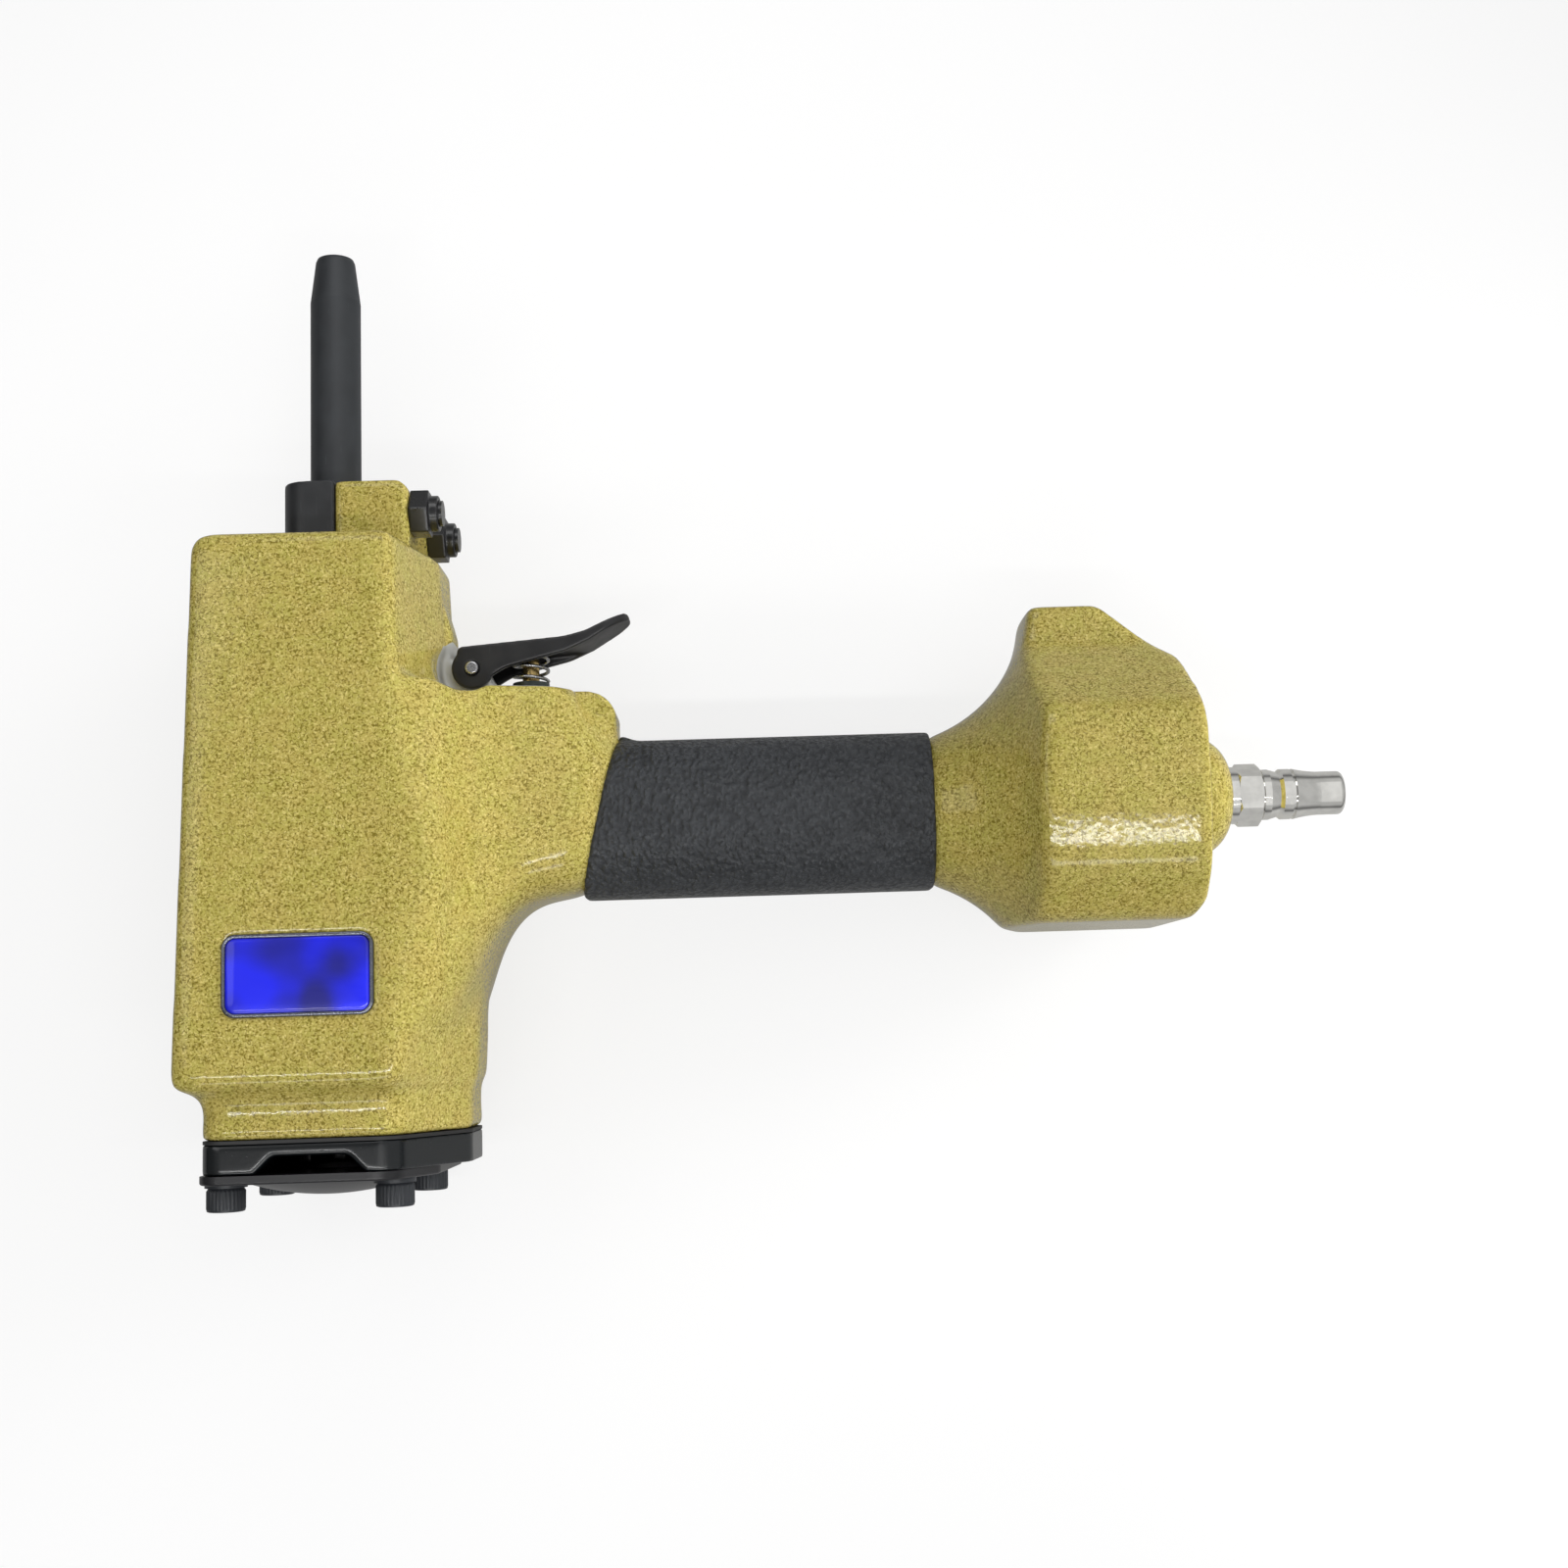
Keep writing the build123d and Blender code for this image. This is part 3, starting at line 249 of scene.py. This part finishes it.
# rubber with a fine leather-like grain, its colour darker between the pebbles as painted shade, and mottled
# at random
gripGrain = {
    "dark": srgb(0.13, 0.138, 0.15), "pale": srgb(0.225, 0.235, 0.248),
    "bendScale": 1.1, "bendReach": 0.7, "scale": 0.95, "pebbleStretch": (1.1, 0.9, 0.9),
    "creaseScale": 2.4, "creaseShare": 0.3, "fineness": 0.6,
    "cloudScale": 0.09, "cloudShare": 0.3, "creviceShadeShare": 0.7,
    "paleRange": (0.15, 0.75), "glossRange": (0.1, 0.8), "gloss": (0.32, 0.5), "depth": 0.75,
    "specular": 0.45,
}


def grainedRubber():
    look = gripGrain
    shade = Shade("grainedRubber")
    spot = shade.place()
    bent = shade.warp(spot, look["bendScale"], look["bendReach"])
    pebble = shade.cells(shade.stretch(bent, look["pebbleStretch"]), look["scale"], "SMOOTH_F1")
    crease = shade.noise(bent, look["creaseScale"], rough=look["fineness"])
    cloud = shade.noise(spot, look["cloudScale"]).ramp(*noiseSpan)
    height = 1 - pebble + crease * look["creaseShare"]
    # painted shade: the colour darkens from the pebbles' tops into the crevices between them, with a random
    # mottle mixed in
    creviceShadeAndMottle = pebble.ramp(*look["paleRange"]) * look["creviceShadeShare"] + cloud * look["cloudShare"]
    return shade.finish({
        "Base Color": creviceShadeAndMottle.tint(look["pale"], look["dark"]),
        "Roughness": pebble.ramp(*look["glossRange"], *look["gloss"]),
        "Normal": shade.bump(height, look["depth"]),
        "Specular IOR Level": look["specular"],
    })


# steel blacked by oxide: nozzle, nose plate, screws, nuts and lever, each with its own depth of black
oxideLook = {
    "cloudScale": 0.16, "cloudRange": (0.3, 0.72), "cloudLift": 1.3,
    "glossRange": (0.25, 0.75), "spread": 0.06, "bumpShare": 0.5, "coatGloss": 0.12,
    "scuffScale": 0.8, "scuffStretch": (1.4, 0.12, 1.4), "scuffRange": (0.66, 0.74), "scuffShare": 0.35,
    "scuffLift": 3.0,
}


def blackedSteel(name, tone, roughness, grain=1.2, depth=0.03, gloss=0.0):
    look = oxideLook
    shade = Shade(name)
    spot = shade.place()
    cloud = shade.noise(spot, look["cloudScale"], detail=3.0)
    fine = shade.noise(spot, grain)
    scuff = shade.noise(shade.stretch(spot, look["scuffStretch"]), look["scuffScale"], detail=3.0)
    scuff = scuff.ramp(*look["scuffRange"]) * look["scuffShare"]
    colour = cloud.ramp(*look["cloudRange"]).tint(tone, toned(tone, look["cloudLift"]))
    return shade.finish({
        "Base Color": scuff.tint(colour, toned(tone, look["scuffLift"])),
        "Roughness": cloud.ramp(*look["glossRange"], roughness - look["spread"], roughness + look["spread"]),
        "Normal": shade.bump(fine, depth, look["bumpShare"]),
        "Coat Weight": gloss,
        "Coat Roughness": look["coatGloss"],
    })


# bare metals: fine turning or grinding lines along one way
turningLook = {
    "lineScale": 3.0, "cloudScale": 0.3, "cloudDrop": 0.85, "spread": (0.75, 1.3), "bumpShare": 0.5,
}


def turnedMetal(name, tone, roughness, lines=(1.0, 1.0, 1.0), depth=0.006):
    look = turningLook
    shade = Shade(name)
    spot = shade.place()
    streak = shade.noise(shade.stretch(spot, lines), look["lineScale"])
    cloud = shade.noise(spot, look["cloudScale"])
    smooth, rough = (roughness * share for share in look["spread"])
    return shade.finish({
        "Base Color": cloud.ramp(*noiseSpan).tint(tone, toned(tone, look["cloudDrop"])),
        "Metallic": 1.0,
        "Roughness": streak.ramp(*noiseSpan, smooth, rough),
        "Normal": shade.bump(streak, depth, look["bumpShare"]),
    })


# smooth seals and dark plastic
polymerLook = {
    "cloudScale": 0.4, "cloudLift": 1.5, "spread": 0.08,
    "fineScale": 2.5, "depth": 0.02, "bumpShare": 0.4,
}


def plainPolymer(name, tone, roughness):
    look = polymerLook
    shade = Shade(name)
    spot = shade.place()
    cloud = shade.noise(spot, look["cloudScale"], detail=3.0)
    return shade.finish({
        "Base Color": cloud.ramp(*noiseSpan).tint(tone, toned(tone, look["cloudLift"])),
        "Roughness": cloud.ramp(*noiseSpan, roughness - look["spread"], roughness + look["spread"]),
        "Normal": shade.bump(shade.noise(spot, look["fineScale"]), look["depth"], look["bumpShare"]),
    })


# gloss black paint on the cap and its cover, with a faint orange peel and a little dust
glossLook = {
    "peelScale": 0.45, "depth": 0.03, "bumpShare": 0.25, "coatGloss": 0.05,
    "dustScale": 1.4, "dustRange": (0.68, 0.78), "dustShare": 0.5, "dustLift": 2.5, "dustGloss": 0.15,
}


def glossBlack(name, tone, roughness, gloss):
    look = glossLook
    shade = Shade(name)
    spot = shade.place()
    peel = shade.noise(spot, look["peelScale"], detail=1.0)
    dust = shade.noise(spot, look["dustScale"], detail=3.0).ramp(*look["dustRange"])
    return shade.finish({
        "Base Color": (dust * look["dustShare"]).tint(tone, toned(tone, look["dustLift"])),
        "Roughness": dust * look["dustGloss"] + roughness,
        "Normal": shade.bump(peel, look["depth"], look["bumpShare"]),
        "Coat Weight": gloss,
        "Coat Roughness": look["coatGloss"],
    })


# blue enamel on the bare nameplate: bright patches on a deep ground, brushed under a clear coat
blueLook = {
    "bright": srgb(0.0, 0.08, 0.95), "deep": srgb(0.02, 0.03, 0.50), "patchScale": 0.075,
    "patchRange": (0.33, 0.67), "brushStretch": (0.3, 6.0, 1.0), "gloss": (0.3, 0.42), "depth": 0.01,
    "bumpShare": 0.3, "metalShare": 0.2, "coat": 0.7, "coatGloss": 0.05,
}


def blueEnamel():
    look = blueLook
    shade = Shade("blueEnamel")
    spot = shade.place()
    cloud = shade.noise(spot, look["patchScale"], detail=1.0)
    brush = shade.noise(shade.stretch(spot, look["brushStretch"]), scale=1.0)
    return shade.finish({
        "Base Color": cloud.ramp(*look["patchRange"]).tint(look["deep"], look["bright"]),
        "Metallic": look["metalShare"],
        "Roughness": brush.ramp(*noiseSpan, *look["gloss"]),
        "Normal": shade.bump(brush, look["depth"], look["bumpShare"]),
        "Coat Weight": look["coat"],
        "Coat Roughness": look["coatGloss"],
    })


# one finish for each kind of surface: tone, roughness and what else sets it apart
looks = {
    "paint": hammertonePaint(),
    "grip": grainedRubber(),
    "nozzle": blackedSteel("nozzleBlack", srgb(0.15, 0.16, 0.172), 0.5),
    "nosePlate": blackedSteel("plateBlack", srgb(0.135, 0.14, 0.15), 0.42),
    "screw": blackedSteel("screwBlack", srgb(0.155, 0.165, 0.18), 0.4, 1.6, 0.04),
    "nut": blackedSteel("nutBlack", srgb(0.085, 0.085, 0.09), 0.3, 1.2, 0.02, 0.4),
    "lever": blackedSteel("leverBlack", srgb(0.12, 0.12, 0.125), 0.36, 1.5, 0.02),
    "cap": glossBlack("capBlack", srgb(0.045, 0.06, 0.068), 0.22, 0.25),
    "cover": glossBlack("coverBlack", srgb(0.09, 0.09, 0.10), 0.34, 0.15),
    "chrome": turnedMetal("brightChrome", srgb(0.96, 0.955, 0.935), 0.08, (8.0, 1.0, 1.0), 0.002),
    "steel": turnedMetal("groundSteel", srgb(0.80, 0.80, 0.81), 0.25),
    "aluminium": turnedMetal("turnedAluminium", srgb(0.86, 0.86, 0.87), 0.3),
    "brass": turnedMetal("turnedBrass", srgb(0.86, 0.75, 0.50), 0.25, (1.0, 6.0, 1.0)),
    "rim": turnedMetal("plateRim", srgb(0.50, 0.51, 0.55), 0.22),
    "seal": plainPolymer("sealRubber", srgb(0.12, 0.12, 0.12), 0.55),
    "plastic": plainPolymer("valvePlastic", srgb(0.16, 0.19, 0.18), 0.4),
    "blue": blueEnamel(),
}
# the finish of each material slot, and of the nodes that differ from the rest of their slot
finishOf = {
    "hammer_paint": "paint", "grip_rubber": "grip", "seal_rubber": "seal", "chrome_plug": "chrome",
    "gloss_black": "cap", "black_steel": "nozzle", "bare_steel": "steel", "bare_aluminium": "aluminium",
    "valve_plastic": "plastic", "brass_stem": "brass", "blue_plate": "blue",
}
ownFinish = {
    "nose_plate": "nosePlate", "cap_screws": "screw", "cap_washers": "screw", "nose_studs": "nut",
    "nose_nuts": "nut", "trigger_lever": "lever", "exhaust_cover": "cover",
}
slotOf = {row["node"]: row["material_slot"] for row in frame["record"]["subparts"]}


def lookOf(node):
    return looks[ownFinish.get(node, finishOf[slotOf[node]])]


for nodeName, nodeObject in nodes.items():
    nodeObject.data.materials.clear()
    nodeObject.data.materials.append(lookOf(nodeName))
print("finishes:", len(looks))


def addPiece(name, mesh, body, look, replaced):
    piece = bpy.data.objects.new(name, mesh)
    scene.collection.objects.link(piece)
    mesh.materials.clear()
    mesh.materials.append(look)
    mesh.shade_smooth()
    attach(piece, body)
    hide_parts(*replaced)
    return piece


def evaluated(piece):
    # the mesh with its modifiers worked in; the working copy goes away
    graph = bpy.context.evaluated_depsgraph_get()
    mesh = bpy.data.meshes.new_from_object(piece.evaluated_get(graph))
    bpy.data.objects.remove(piece)
    return mesh


def voxelCopy(node, voxel):
    # a closed, even skin over a node's solids
    work = bpy.data.objects.new("work", nodes[node].data.copy())
    scene.collection.objects.link(work)
    remesh = work.modifiers.new("remesh", "REMESH")
    remesh.mode = "VOXEL"
    remesh.voxel_size = voxel / perMetre
    return evaluated(work)


def pointsOf(mesh):
    flat = np.empty(len(mesh.vertices) * 3)
    mesh.vertices.foreach_get("co", flat)
    return flat.reshape(-1, 3)


# how much of the way to the middle of its neighbours a point goes in one round
easeStep = 0.5


def ease(mesh, rounds, weight=1.0):
    # draws each point towards the middle of its neighbours
    points = pointsOf(mesh)
    ends = np.empty(len(mesh.edges) * 2, dtype=np.int64)
    mesh.edges.foreach_get("vertices", ends)
    a, b = ends.reshape(-1, 2).T
    count = np.bincount(a, minlength=len(points)) + np.bincount(b, minlength=len(points))
    count = np.maximum(count, 1)
    share = easeStep * np.broadcast_to(weight, len(points))
    for _ in range(rounds):
        for k in range(3):
            total = np.bincount(a, points[b, k], len(points)) + np.bincount(b, points[a, k], len(points))
            points[:, k] += share * (total / count - points[:, k])
    mesh.vertices.foreach_set("co", points.ravel())
    mesh.update()


def thin(mesh, keep):
    # fewer faces where the skin is flat
    work = bpy.data.objects.new("work", mesh)
    scene.collection.objects.link(work)
    fewer = work.modifiers.new("fewer", "DECIMATE")
    fewer.ratio = keep
    return evaluated(work)


def smoothStep(value, low, high):
    share = np.clip((value - low) / (high - low), 0, 1)
    return share * share * (3 - 2 * share)


# the casting: an eased skin, so that its edges are soft as cast and painted metal is, and softest on the
# neck; edges stay crisper at the nameplate, the lever's seat, the nose and the cap's joint
castingSkin = {
    "voxel": 0.85, "fineRounds": 3, "softRounds": 12, "neckRounds": 90, "keep": 0.45,
    "seatBox": ((24, 70), (23, 60), (-12, 12)), "plateBox": ((-19, 18), (-48, -26), (30, 40)),
    "noseTop": 60.0, "capJoint": -69.5, "blend": 3.0,
    "neckBox": ((22, 62), (-44, 19), (-60, 60)), "neckBlend": 8.0,
}


def inBox(points, box, blend):
    # 1 inside the box, 0 outside, eased over the blend
    share = np.ones(len(points))
    for k, (low, high) in enumerate(box):
        rise = smoothStep(points[:, k], low - blend, low)
        fall = smoothStep(points[:, k], high, high + blend)
        share *= rise * (1 - fall)
    return share


def bodyCasting():
    spec = castingSkin
    mesh = voxelCopy("body_casting", spec["voxel"])
    points = (pointsOf(mesh) - np.array(at(0, 0, 0))) * perMetre
    blend = spec["blend"]
    crisp = np.maximum.reduce([
        inBox(points, spec["seatBox"], blend),
        inBox(points, spec["plateBox"], blend),
        smoothStep(points[:, 1], spec["noseTop"], spec["noseTop"] + blend),
        1 - smoothStep(points[:, 1], spec["capJoint"], spec["capJoint"] + blend),
    ])
    neck = inBox(points, spec["neckBox"], spec["neckBlend"])
    ease(mesh, spec["fineRounds"])
    ease(mesh, spec["softRounds"], 1 - crisp)
    ease(mesh, spec["neckRounds"], neck * (1 - crisp))
    mesh = thin(mesh, spec["keep"])
    addPiece("body_casting_skin", mesh, "tool", looks["paint"], ["body_casting"])


bodyCasting()
print("casting eased")

# other pieces whose edges are rounded off in the same way: voxel in millimetres, share of faces kept
easedSkins = [
    {"node": "grip_sleeve", "body": "tool", "voxel": 0.6, "rounds": 7, "keep": 0.4},
    {"node": "trigger_lever", "body": "trigger", "voxel": 0.28, "rounds": 5, "keep": 0.5},
    {"node": "cylinder_cap", "body": "tool", "voxel": 0.45, "rounds": 3, "keep": 0.4},
    {"node": "nose_plate", "body": "tool", "voxel": 0.4, "rounds": 3, "keep": 0.4},
    {"node": "nose_nuts", "body": "tool", "voxel": 0.2, "rounds": 4, "keep": 0.6},
]


def easedSkin(spec):
    node = spec["node"]
    mesh = voxelCopy(node, spec["voxel"])
    ease(mesh, spec["rounds"])
    addPiece(node + "_skin", thin(mesh, spec["keep"]), spec["body"], lookOf(node), [node])


for skinSpec in easedSkins:
    easedSkin(skinSpec)
print("edges rounded on", len(easedSkins), "more pieces")


def skinOfRings(name, rings, closed=False):
    # quads between rings of equal length, with a face over each end unless the last ring meets the first
    size = len(rings[0])
    verts = [point for ring in rings for point in ring]
    faces = []
    for i in range(len(rings) if closed else len(rings) - 1):
        here, there = i * size, (i + 1) % len(rings) * size
        for k in range(size):
            after = (k + 1) % size
            faces.append((here + k, here + after, there + after, there + k))
    if not closed:
        faces.append(tuple(range(size))[::-1])
        faces.append(tuple(len(verts) - size + k for k in range(size)))
    mesh = bpy.data.meshes.new(name)
    mesh.from_pydata(verts, [], faces)
    return mesh


# the cap screws: knurled heads with a hexagon socket, in millimetres and degrees
capScrew = {
    "headRadius": 4.25, "head": 5.2, "shankRadius": 2.5, "rim": 0.5, "rimBulge": 0.15,
    "ribs": 30, "ribDepth": 0.17, "ribStart": 0.7,
    "socketHalf": 2.0, "socketDepth": 2.6, "socketRim": 0.25, "socketLip": 0.5 / 3,
    "steps": 240, "sharp": 35,
}


def screwRing(middle, y, radius, ribbed=0.0, hexagon=False):
    # radius is a hexagon's half width; ribbed is how deep the grooves between ribs go
    sixth = math.pi / 3
    ring = []
    for k in range(capScrew["steps"]):
        turn = 2 * math.pi * k / capScrew["steps"]
        reach = radius
        if hexagon:
            reach /= math.cos((turn + sixth / 2) % sixth - sixth / 2)
        alongRib = k * capScrew["ribs"] / capScrew["steps"] % 1
        reach = (reach - ribbed * abs(alongRib - 0.5) * 2) / perMetre
        ring.append(Vector((middle.x + reach * math.cos(turn), y, middle.z + reach * math.sin(turn))))
    return ring


def screwRings(middle, foot, tip):
    # from the socket's floor out over the head and along the shank
    spec = capScrew
    socket, outer, rim, ribDepth = (spec[key] for key in ("socketHalf", "headRadius", "rim", "ribDepth"))
    profile = [
        {"y": spec["socketDepth"], "radius": socket, "hexagon": True},
        {"y": spec["socketLip"], "radius": socket, "hexagon": True},
        {"y": 0.0, "radius": socket + spec["socketRim"], "hexagon": True},
        {"y": 0.0, "radius": outer - rim},
        {"y": spec["rimBulge"], "radius": outer - spec["rimBulge"]},
        {"y": rim, "radius": outer - ribDepth / 2},
        {"y": spec["ribStart"], "radius": outer, "ribbed": ribDepth},
        {"y": spec["head"] - spec["ribStart"], "radius": outer, "ribbed": ribDepth},
        {"y": spec["head"] - rim, "radius": outer - ribDepth},
        {"y": spec["head"], "radius": outer - rim},
        {"y": spec["head"], "radius": spec["shankRadius"]},
        {"y": (tip - foot) * perMetre, "radius": spec["shankRadius"]},
    ]
    return [screwRing(middle, **{**step, "y": foot + step["y"] / perMetre}) for step in profile]


def capScrews():
    low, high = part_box("cap_screws")
    inset = capScrew["headRadius"] / perMetre
    verts, faces = [], []
    for x in (low.x + inset, high.x - inset):
        for z in (low.z + inset, high.z - inset):
            screw = skinOfRings("capScrew", screwRings(Vector((x, 0, z)), low.y, high.y))
            start = len(verts)
            verts += [v.co.copy() for v in screw.vertices]
            faces += [tuple(start + v for v in face.vertices) for face in screw.polygons]
            bpy.data.meshes.remove(screw)
    joined = bpy.data.meshes.new("cap_screws_knurled")
    joined.from_pydata(verts, [], faces)
    addPiece("cap_screws_knurled", joined, "tool", looks["screw"], ["cap_screws"])
    joined.set_sharp_from_angle(angle=math.radians(capScrew["sharp"]))


capScrews()
print("cap screws knurled")

# the nameplate, bare: a polished rim round a crowned field of enamel; each step is an inset from the
# plate's outline and a drop from its top, in millimetres
plate = {
    "corner": 3.0, "leastCorner": 0.35, "cornerSteps": 10,
    "rim": [(0.0, 1.15), (0.0, 0.5), (0.12, 0.2), (0.4, 0.06), (0.75, 0.06), (0.95, 0.3), (0.95, 1.15)],
    "field": [(0.95, 1.1), (0.95, 0.42), (1.1, 0.3), (1.7, 0.2), (3.0, 0.11), (5.0, 0.05), (7.5, 0.02)],
}


def plateRing(low, high, inset, drop):
    # a rounded oblong on the plate, its corners drawn in with the inset
    corner = max(plate["corner"] - inset, plate["leastCorner"]) / perMetre
    inset, drop = inset / perMetre, drop / perMetre
    middle = (low + high) / 2
    halfX = (high.x - low.x) / 2 - inset - corner
    halfY = (high.y - low.y) / 2 - inset - corner
    ring = []
    for quarter, (sideX, sideY) in enumerate(((1, 1), (-1, 1), (-1, -1), (1, -1))):
        for k in range(plate["cornerSteps"] + 1):
            turn = math.pi / 2 * (quarter + k / plate["cornerSteps"])
            ring.append(Vector((middle.x + sideX * halfX + corner * math.cos(turn),
                                middle.y + sideY * halfY + corner * math.sin(turn), high.z - drop)))
    return ring


def namePlate():
    low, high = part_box("nameplate")
    rim = skinOfRings("nameplate_rim", [plateRing(low, high, *step) for step in plate["rim"]], closed=True)
    field = skinOfRings("nameplate_field", [plateRing(low, high, *step) for step in plate["field"]])
    addPiece("nameplate_rim", rim, "tool", looks["rim"], ["nameplate"])
    addPiece("nameplate_field", field, "tool", looks["blue"], ["nameplate"])


namePlate()
print("nameplate set")

# the coil springs, drawn as wire: wire is its radius in millimetres, keep the share of its
# length that stays at the joint's limit
springs = [
    {"node": "trigger_spring", "joint": "trigger_pull", "turns": 2.25, "wire": 0.42, "keep": 0.6},
    {"node": "valve_spring", "joint": "stem_press", "turns": 4.0, "wire": 0.4, "keep": 0.7},
    {"node": "head_valve_spring", "joint": "head_valve_lift", "turns": 3.5, "wire": 0.8, "keep": 0.6},
]
wireSides = 10
turnSteps = 48


def coilSpring(spec):
    low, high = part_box(spec["node"])
    wire = spec["wire"] / perMetre
    middle = (low + high) / 2
    radius = (high.x - low.x) / 2 - wire
    rise = high.y - low.y - 2 * wire
    steps = int(spec["turns"] * turnSteps)
    rings = []
    for i in range(steps + 1):
        share = i / steps
        turn = 2 * math.pi * spec["turns"] * share
        out = Vector((math.cos(turn), 0, math.sin(turn)))
        centre = Vector((middle.x, low.y + wire + rise * share, middle.z)) + out * radius
        ring = []
        for k in range(wireSides):
            around = 2 * math.pi * k / wireSides
            ring.append(centre + out * wire * math.cos(around) + Vector((0, wire * math.sin(around), 0)))
        rings.append(ring)
    name = spec["node"] + "_wire"
    piece = addPiece(name, skinOfRings(name, rings), "tool", looks["steel"], [spec["node"]])
    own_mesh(piece)


for springSpec in springs:
    coilSpring(springSpec)
print("springs wound")


# the floor, in metres: white and partly glowing where the camera sees it, so that it keeps a soft shadow,
# with a faint glow in what mirrors it, and grey for the light that it throws back
floorLook = {"width": 3.0, "drop": 0.0002, "bounced": 0.4, "seen": 1.0, "glow": 0.72, "mirrored": 0.1}


def floorWhite():
    shade = Shade("floorWhite")
    straight, mirrored, through = [shade.node("ShaderNodeLightPath", output=name)
                                   for name in ("Is Camera Ray", "Is Glossy Ray", "Is Transmission Ray")]
    bounced, seen = [shade.node("ShaderNodeBsdfDiffuse", None, {"Color": toned(white, floorLook[key])})
                     for key in ("bounced", "seen")]
    matt = shade.node("ShaderNodeMixShader", None, {0: straight, 1: bounced, 2: seen})
    glow = shade.node("ShaderNodeEmission", None, {"Color": white, "Strength": 1.0})
    beside = mirrored.math("MAXIMUM", mirrored, through) * floorLook["mirrored"]
    share = beside.math("MAXIMUM", straight * floorLook["glow"], beside)
    return shade.show(shade.node("ShaderNodeMixShader", None, {0: share, 1: matt, 2: glow}))


def layFloor():
    half, drop = floorLook["width"] / 2, floorLook["drop"]
    corners = [(x * half, y * half, -drop) for x, y in ((-1, -1), (1, -1), (1, 1), (-1, 1))]
    mesh = bpy.data.meshes.new("floor")
    mesh.from_pydata(corners, [], [(0, 1, 2, 3)])
    mesh.materials.append(floorWhite())
    floor = bpy.data.objects.new("floor", mesh)
    scene.collection.objects.link(floor)


layFloor()

# the sky: pale walls, dimmer at the head's side, under a dark ceiling that ends at a window on the plug's
# side, where a white card hangs for the plug to mirror; pairs are a span along a direction's x or z
skyLook = {
    "horizon": 0.15, "sides": 0.5, "wallFoot": (0.0, 0.35), "leftWall": 0.32, "wallTurn": (-0.75, 0.1),
    "ceiling": 0.22, "ceilingEdge": (0.72, 0.93), "window": (0.1, 0.2),
    "card": 0.25, "cardMiddle": 0.26, "cardHalf": 0.15, "cardEdge": (0.5, 0.6),
}


def studioSky():
    look = skyLook
    shade = Shade("studioSky", bpy.data.worlds)
    way = shade.node("ShaderNodeTexCoord", output="Generated")
    height = shade.part(way, "Z")
    side = shade.part(way, "X")
    walls = height.ramp(*look["wallFoot"], look["horizon"], look["sides"])
    walls = walls * side.ramp(*look["wallTurn"], look["leftWall"], 1.0)
    ceiling = height.ramp(*look["ceilingEdge"]) * (1 - side.ramp(*look["window"]))
    card = side.within(look["cardMiddle"], look["cardHalf"]) * height.ramp(*look["cardEdge"])
    level = walls * (1 - ceiling) + ceiling * look["ceiling"] + card * look["card"]
    sky = shade.node("ShaderNodeBackground", None, {"Color": white, "Strength": level})
    return shade.show(sky, "ShaderNodeOutputWorld")


scene.world = studioSky()
print("floor and sky set")

# lamps in millimetres, watts and degrees, wide open unless a spread is given: two thin strips at the
# cap's side that make the tail's bright lines, boxes over the nozzle and at the head's left, and two low
# ones beyond the plug that only fill, so nothing mirrors them
lamps = [
    {"name": "stripBox", "from": (85, -198, 580), "to": (90, -12, 36), "size": (560, 20), "power": 0.92},
    {"name": "lowBox", "from": (85, -400, 450), "to": (90, -19, 34), "size": (520, 80), "power": 0.6},
    {"name": "topBox", "from": (40, 300, 260), "to": (20, 0, 20), "size": (250, 150), "power": 0.22},
    {"name": "leftBox", "from": (-250, 80, 380), "to": (0, 0, 20), "size": (250, 250), "power": 0.25},
    {"name": "sideBox", "from": (360, 210, 130), "to": (25, 45, 25), "size": (380, 260), "power": 0.19,
     "spread": 40, "mirrored": False},
    {"name": "plugBox", "from": (420, -60, 88), "to": (25, 10, 25), "size": (300, 150), "power": 0.44,
     "mirrored": False},
]
wideOpen = 180


def setLamp(lamp):
    light = bpy.data.lights.new(lamp["name"], "AREA")
    light.shape = "RECTANGLE"
    light.size, light.size_y = (side / perMetre for side in lamp["size"])
    light.energy = lamp["power"]
    light.spread = math.radians(lamp.get("spread", wideOpen))
    holder = bpy.data.objects.new(lamp["name"], light)
    scene.collection.objects.link(holder)
    holder.visible_glossy = lamp.get("mirrored", True)
    holder.location = at(*lamp["from"])
    aim = at(*lamp["to"]) - holder.location
    holder.rotation_euler = aim.to_track_quat("-Z", "Y").to_euler()


for lampSpec in lamps:
    setLamp(lampSpec)

# the photograph's camera: a square picture, seen a little from the cap's side
photoView = {
    "from": (98.515, -52.404, 461.824), "turn": (7.2334, -0.6867, -1.7995), "lens": 44.9724, "sensor": 36.0,
    "nearest": 0.01,
}


def setCamera():
    camera = bpy.data.cameras.new("photoCamera")
    camera.lens = photoView["lens"]
    camera.sensor_width = photoView["sensor"]
    camera.sensor_fit = "HORIZONTAL"
    camera.clip_start = photoView["nearest"]
    holder = bpy.data.objects.new("photoCamera", camera)
    scene.collection.objects.link(holder)
    holder.location = at(*photoView["from"])
    holder.rotation_euler = [math.radians(turn) for turn in photoView["turn"]]
    scene.camera = holder


setCamera()
scene.view_settings.view_transform = "Standard"
print("lamps and camera set")
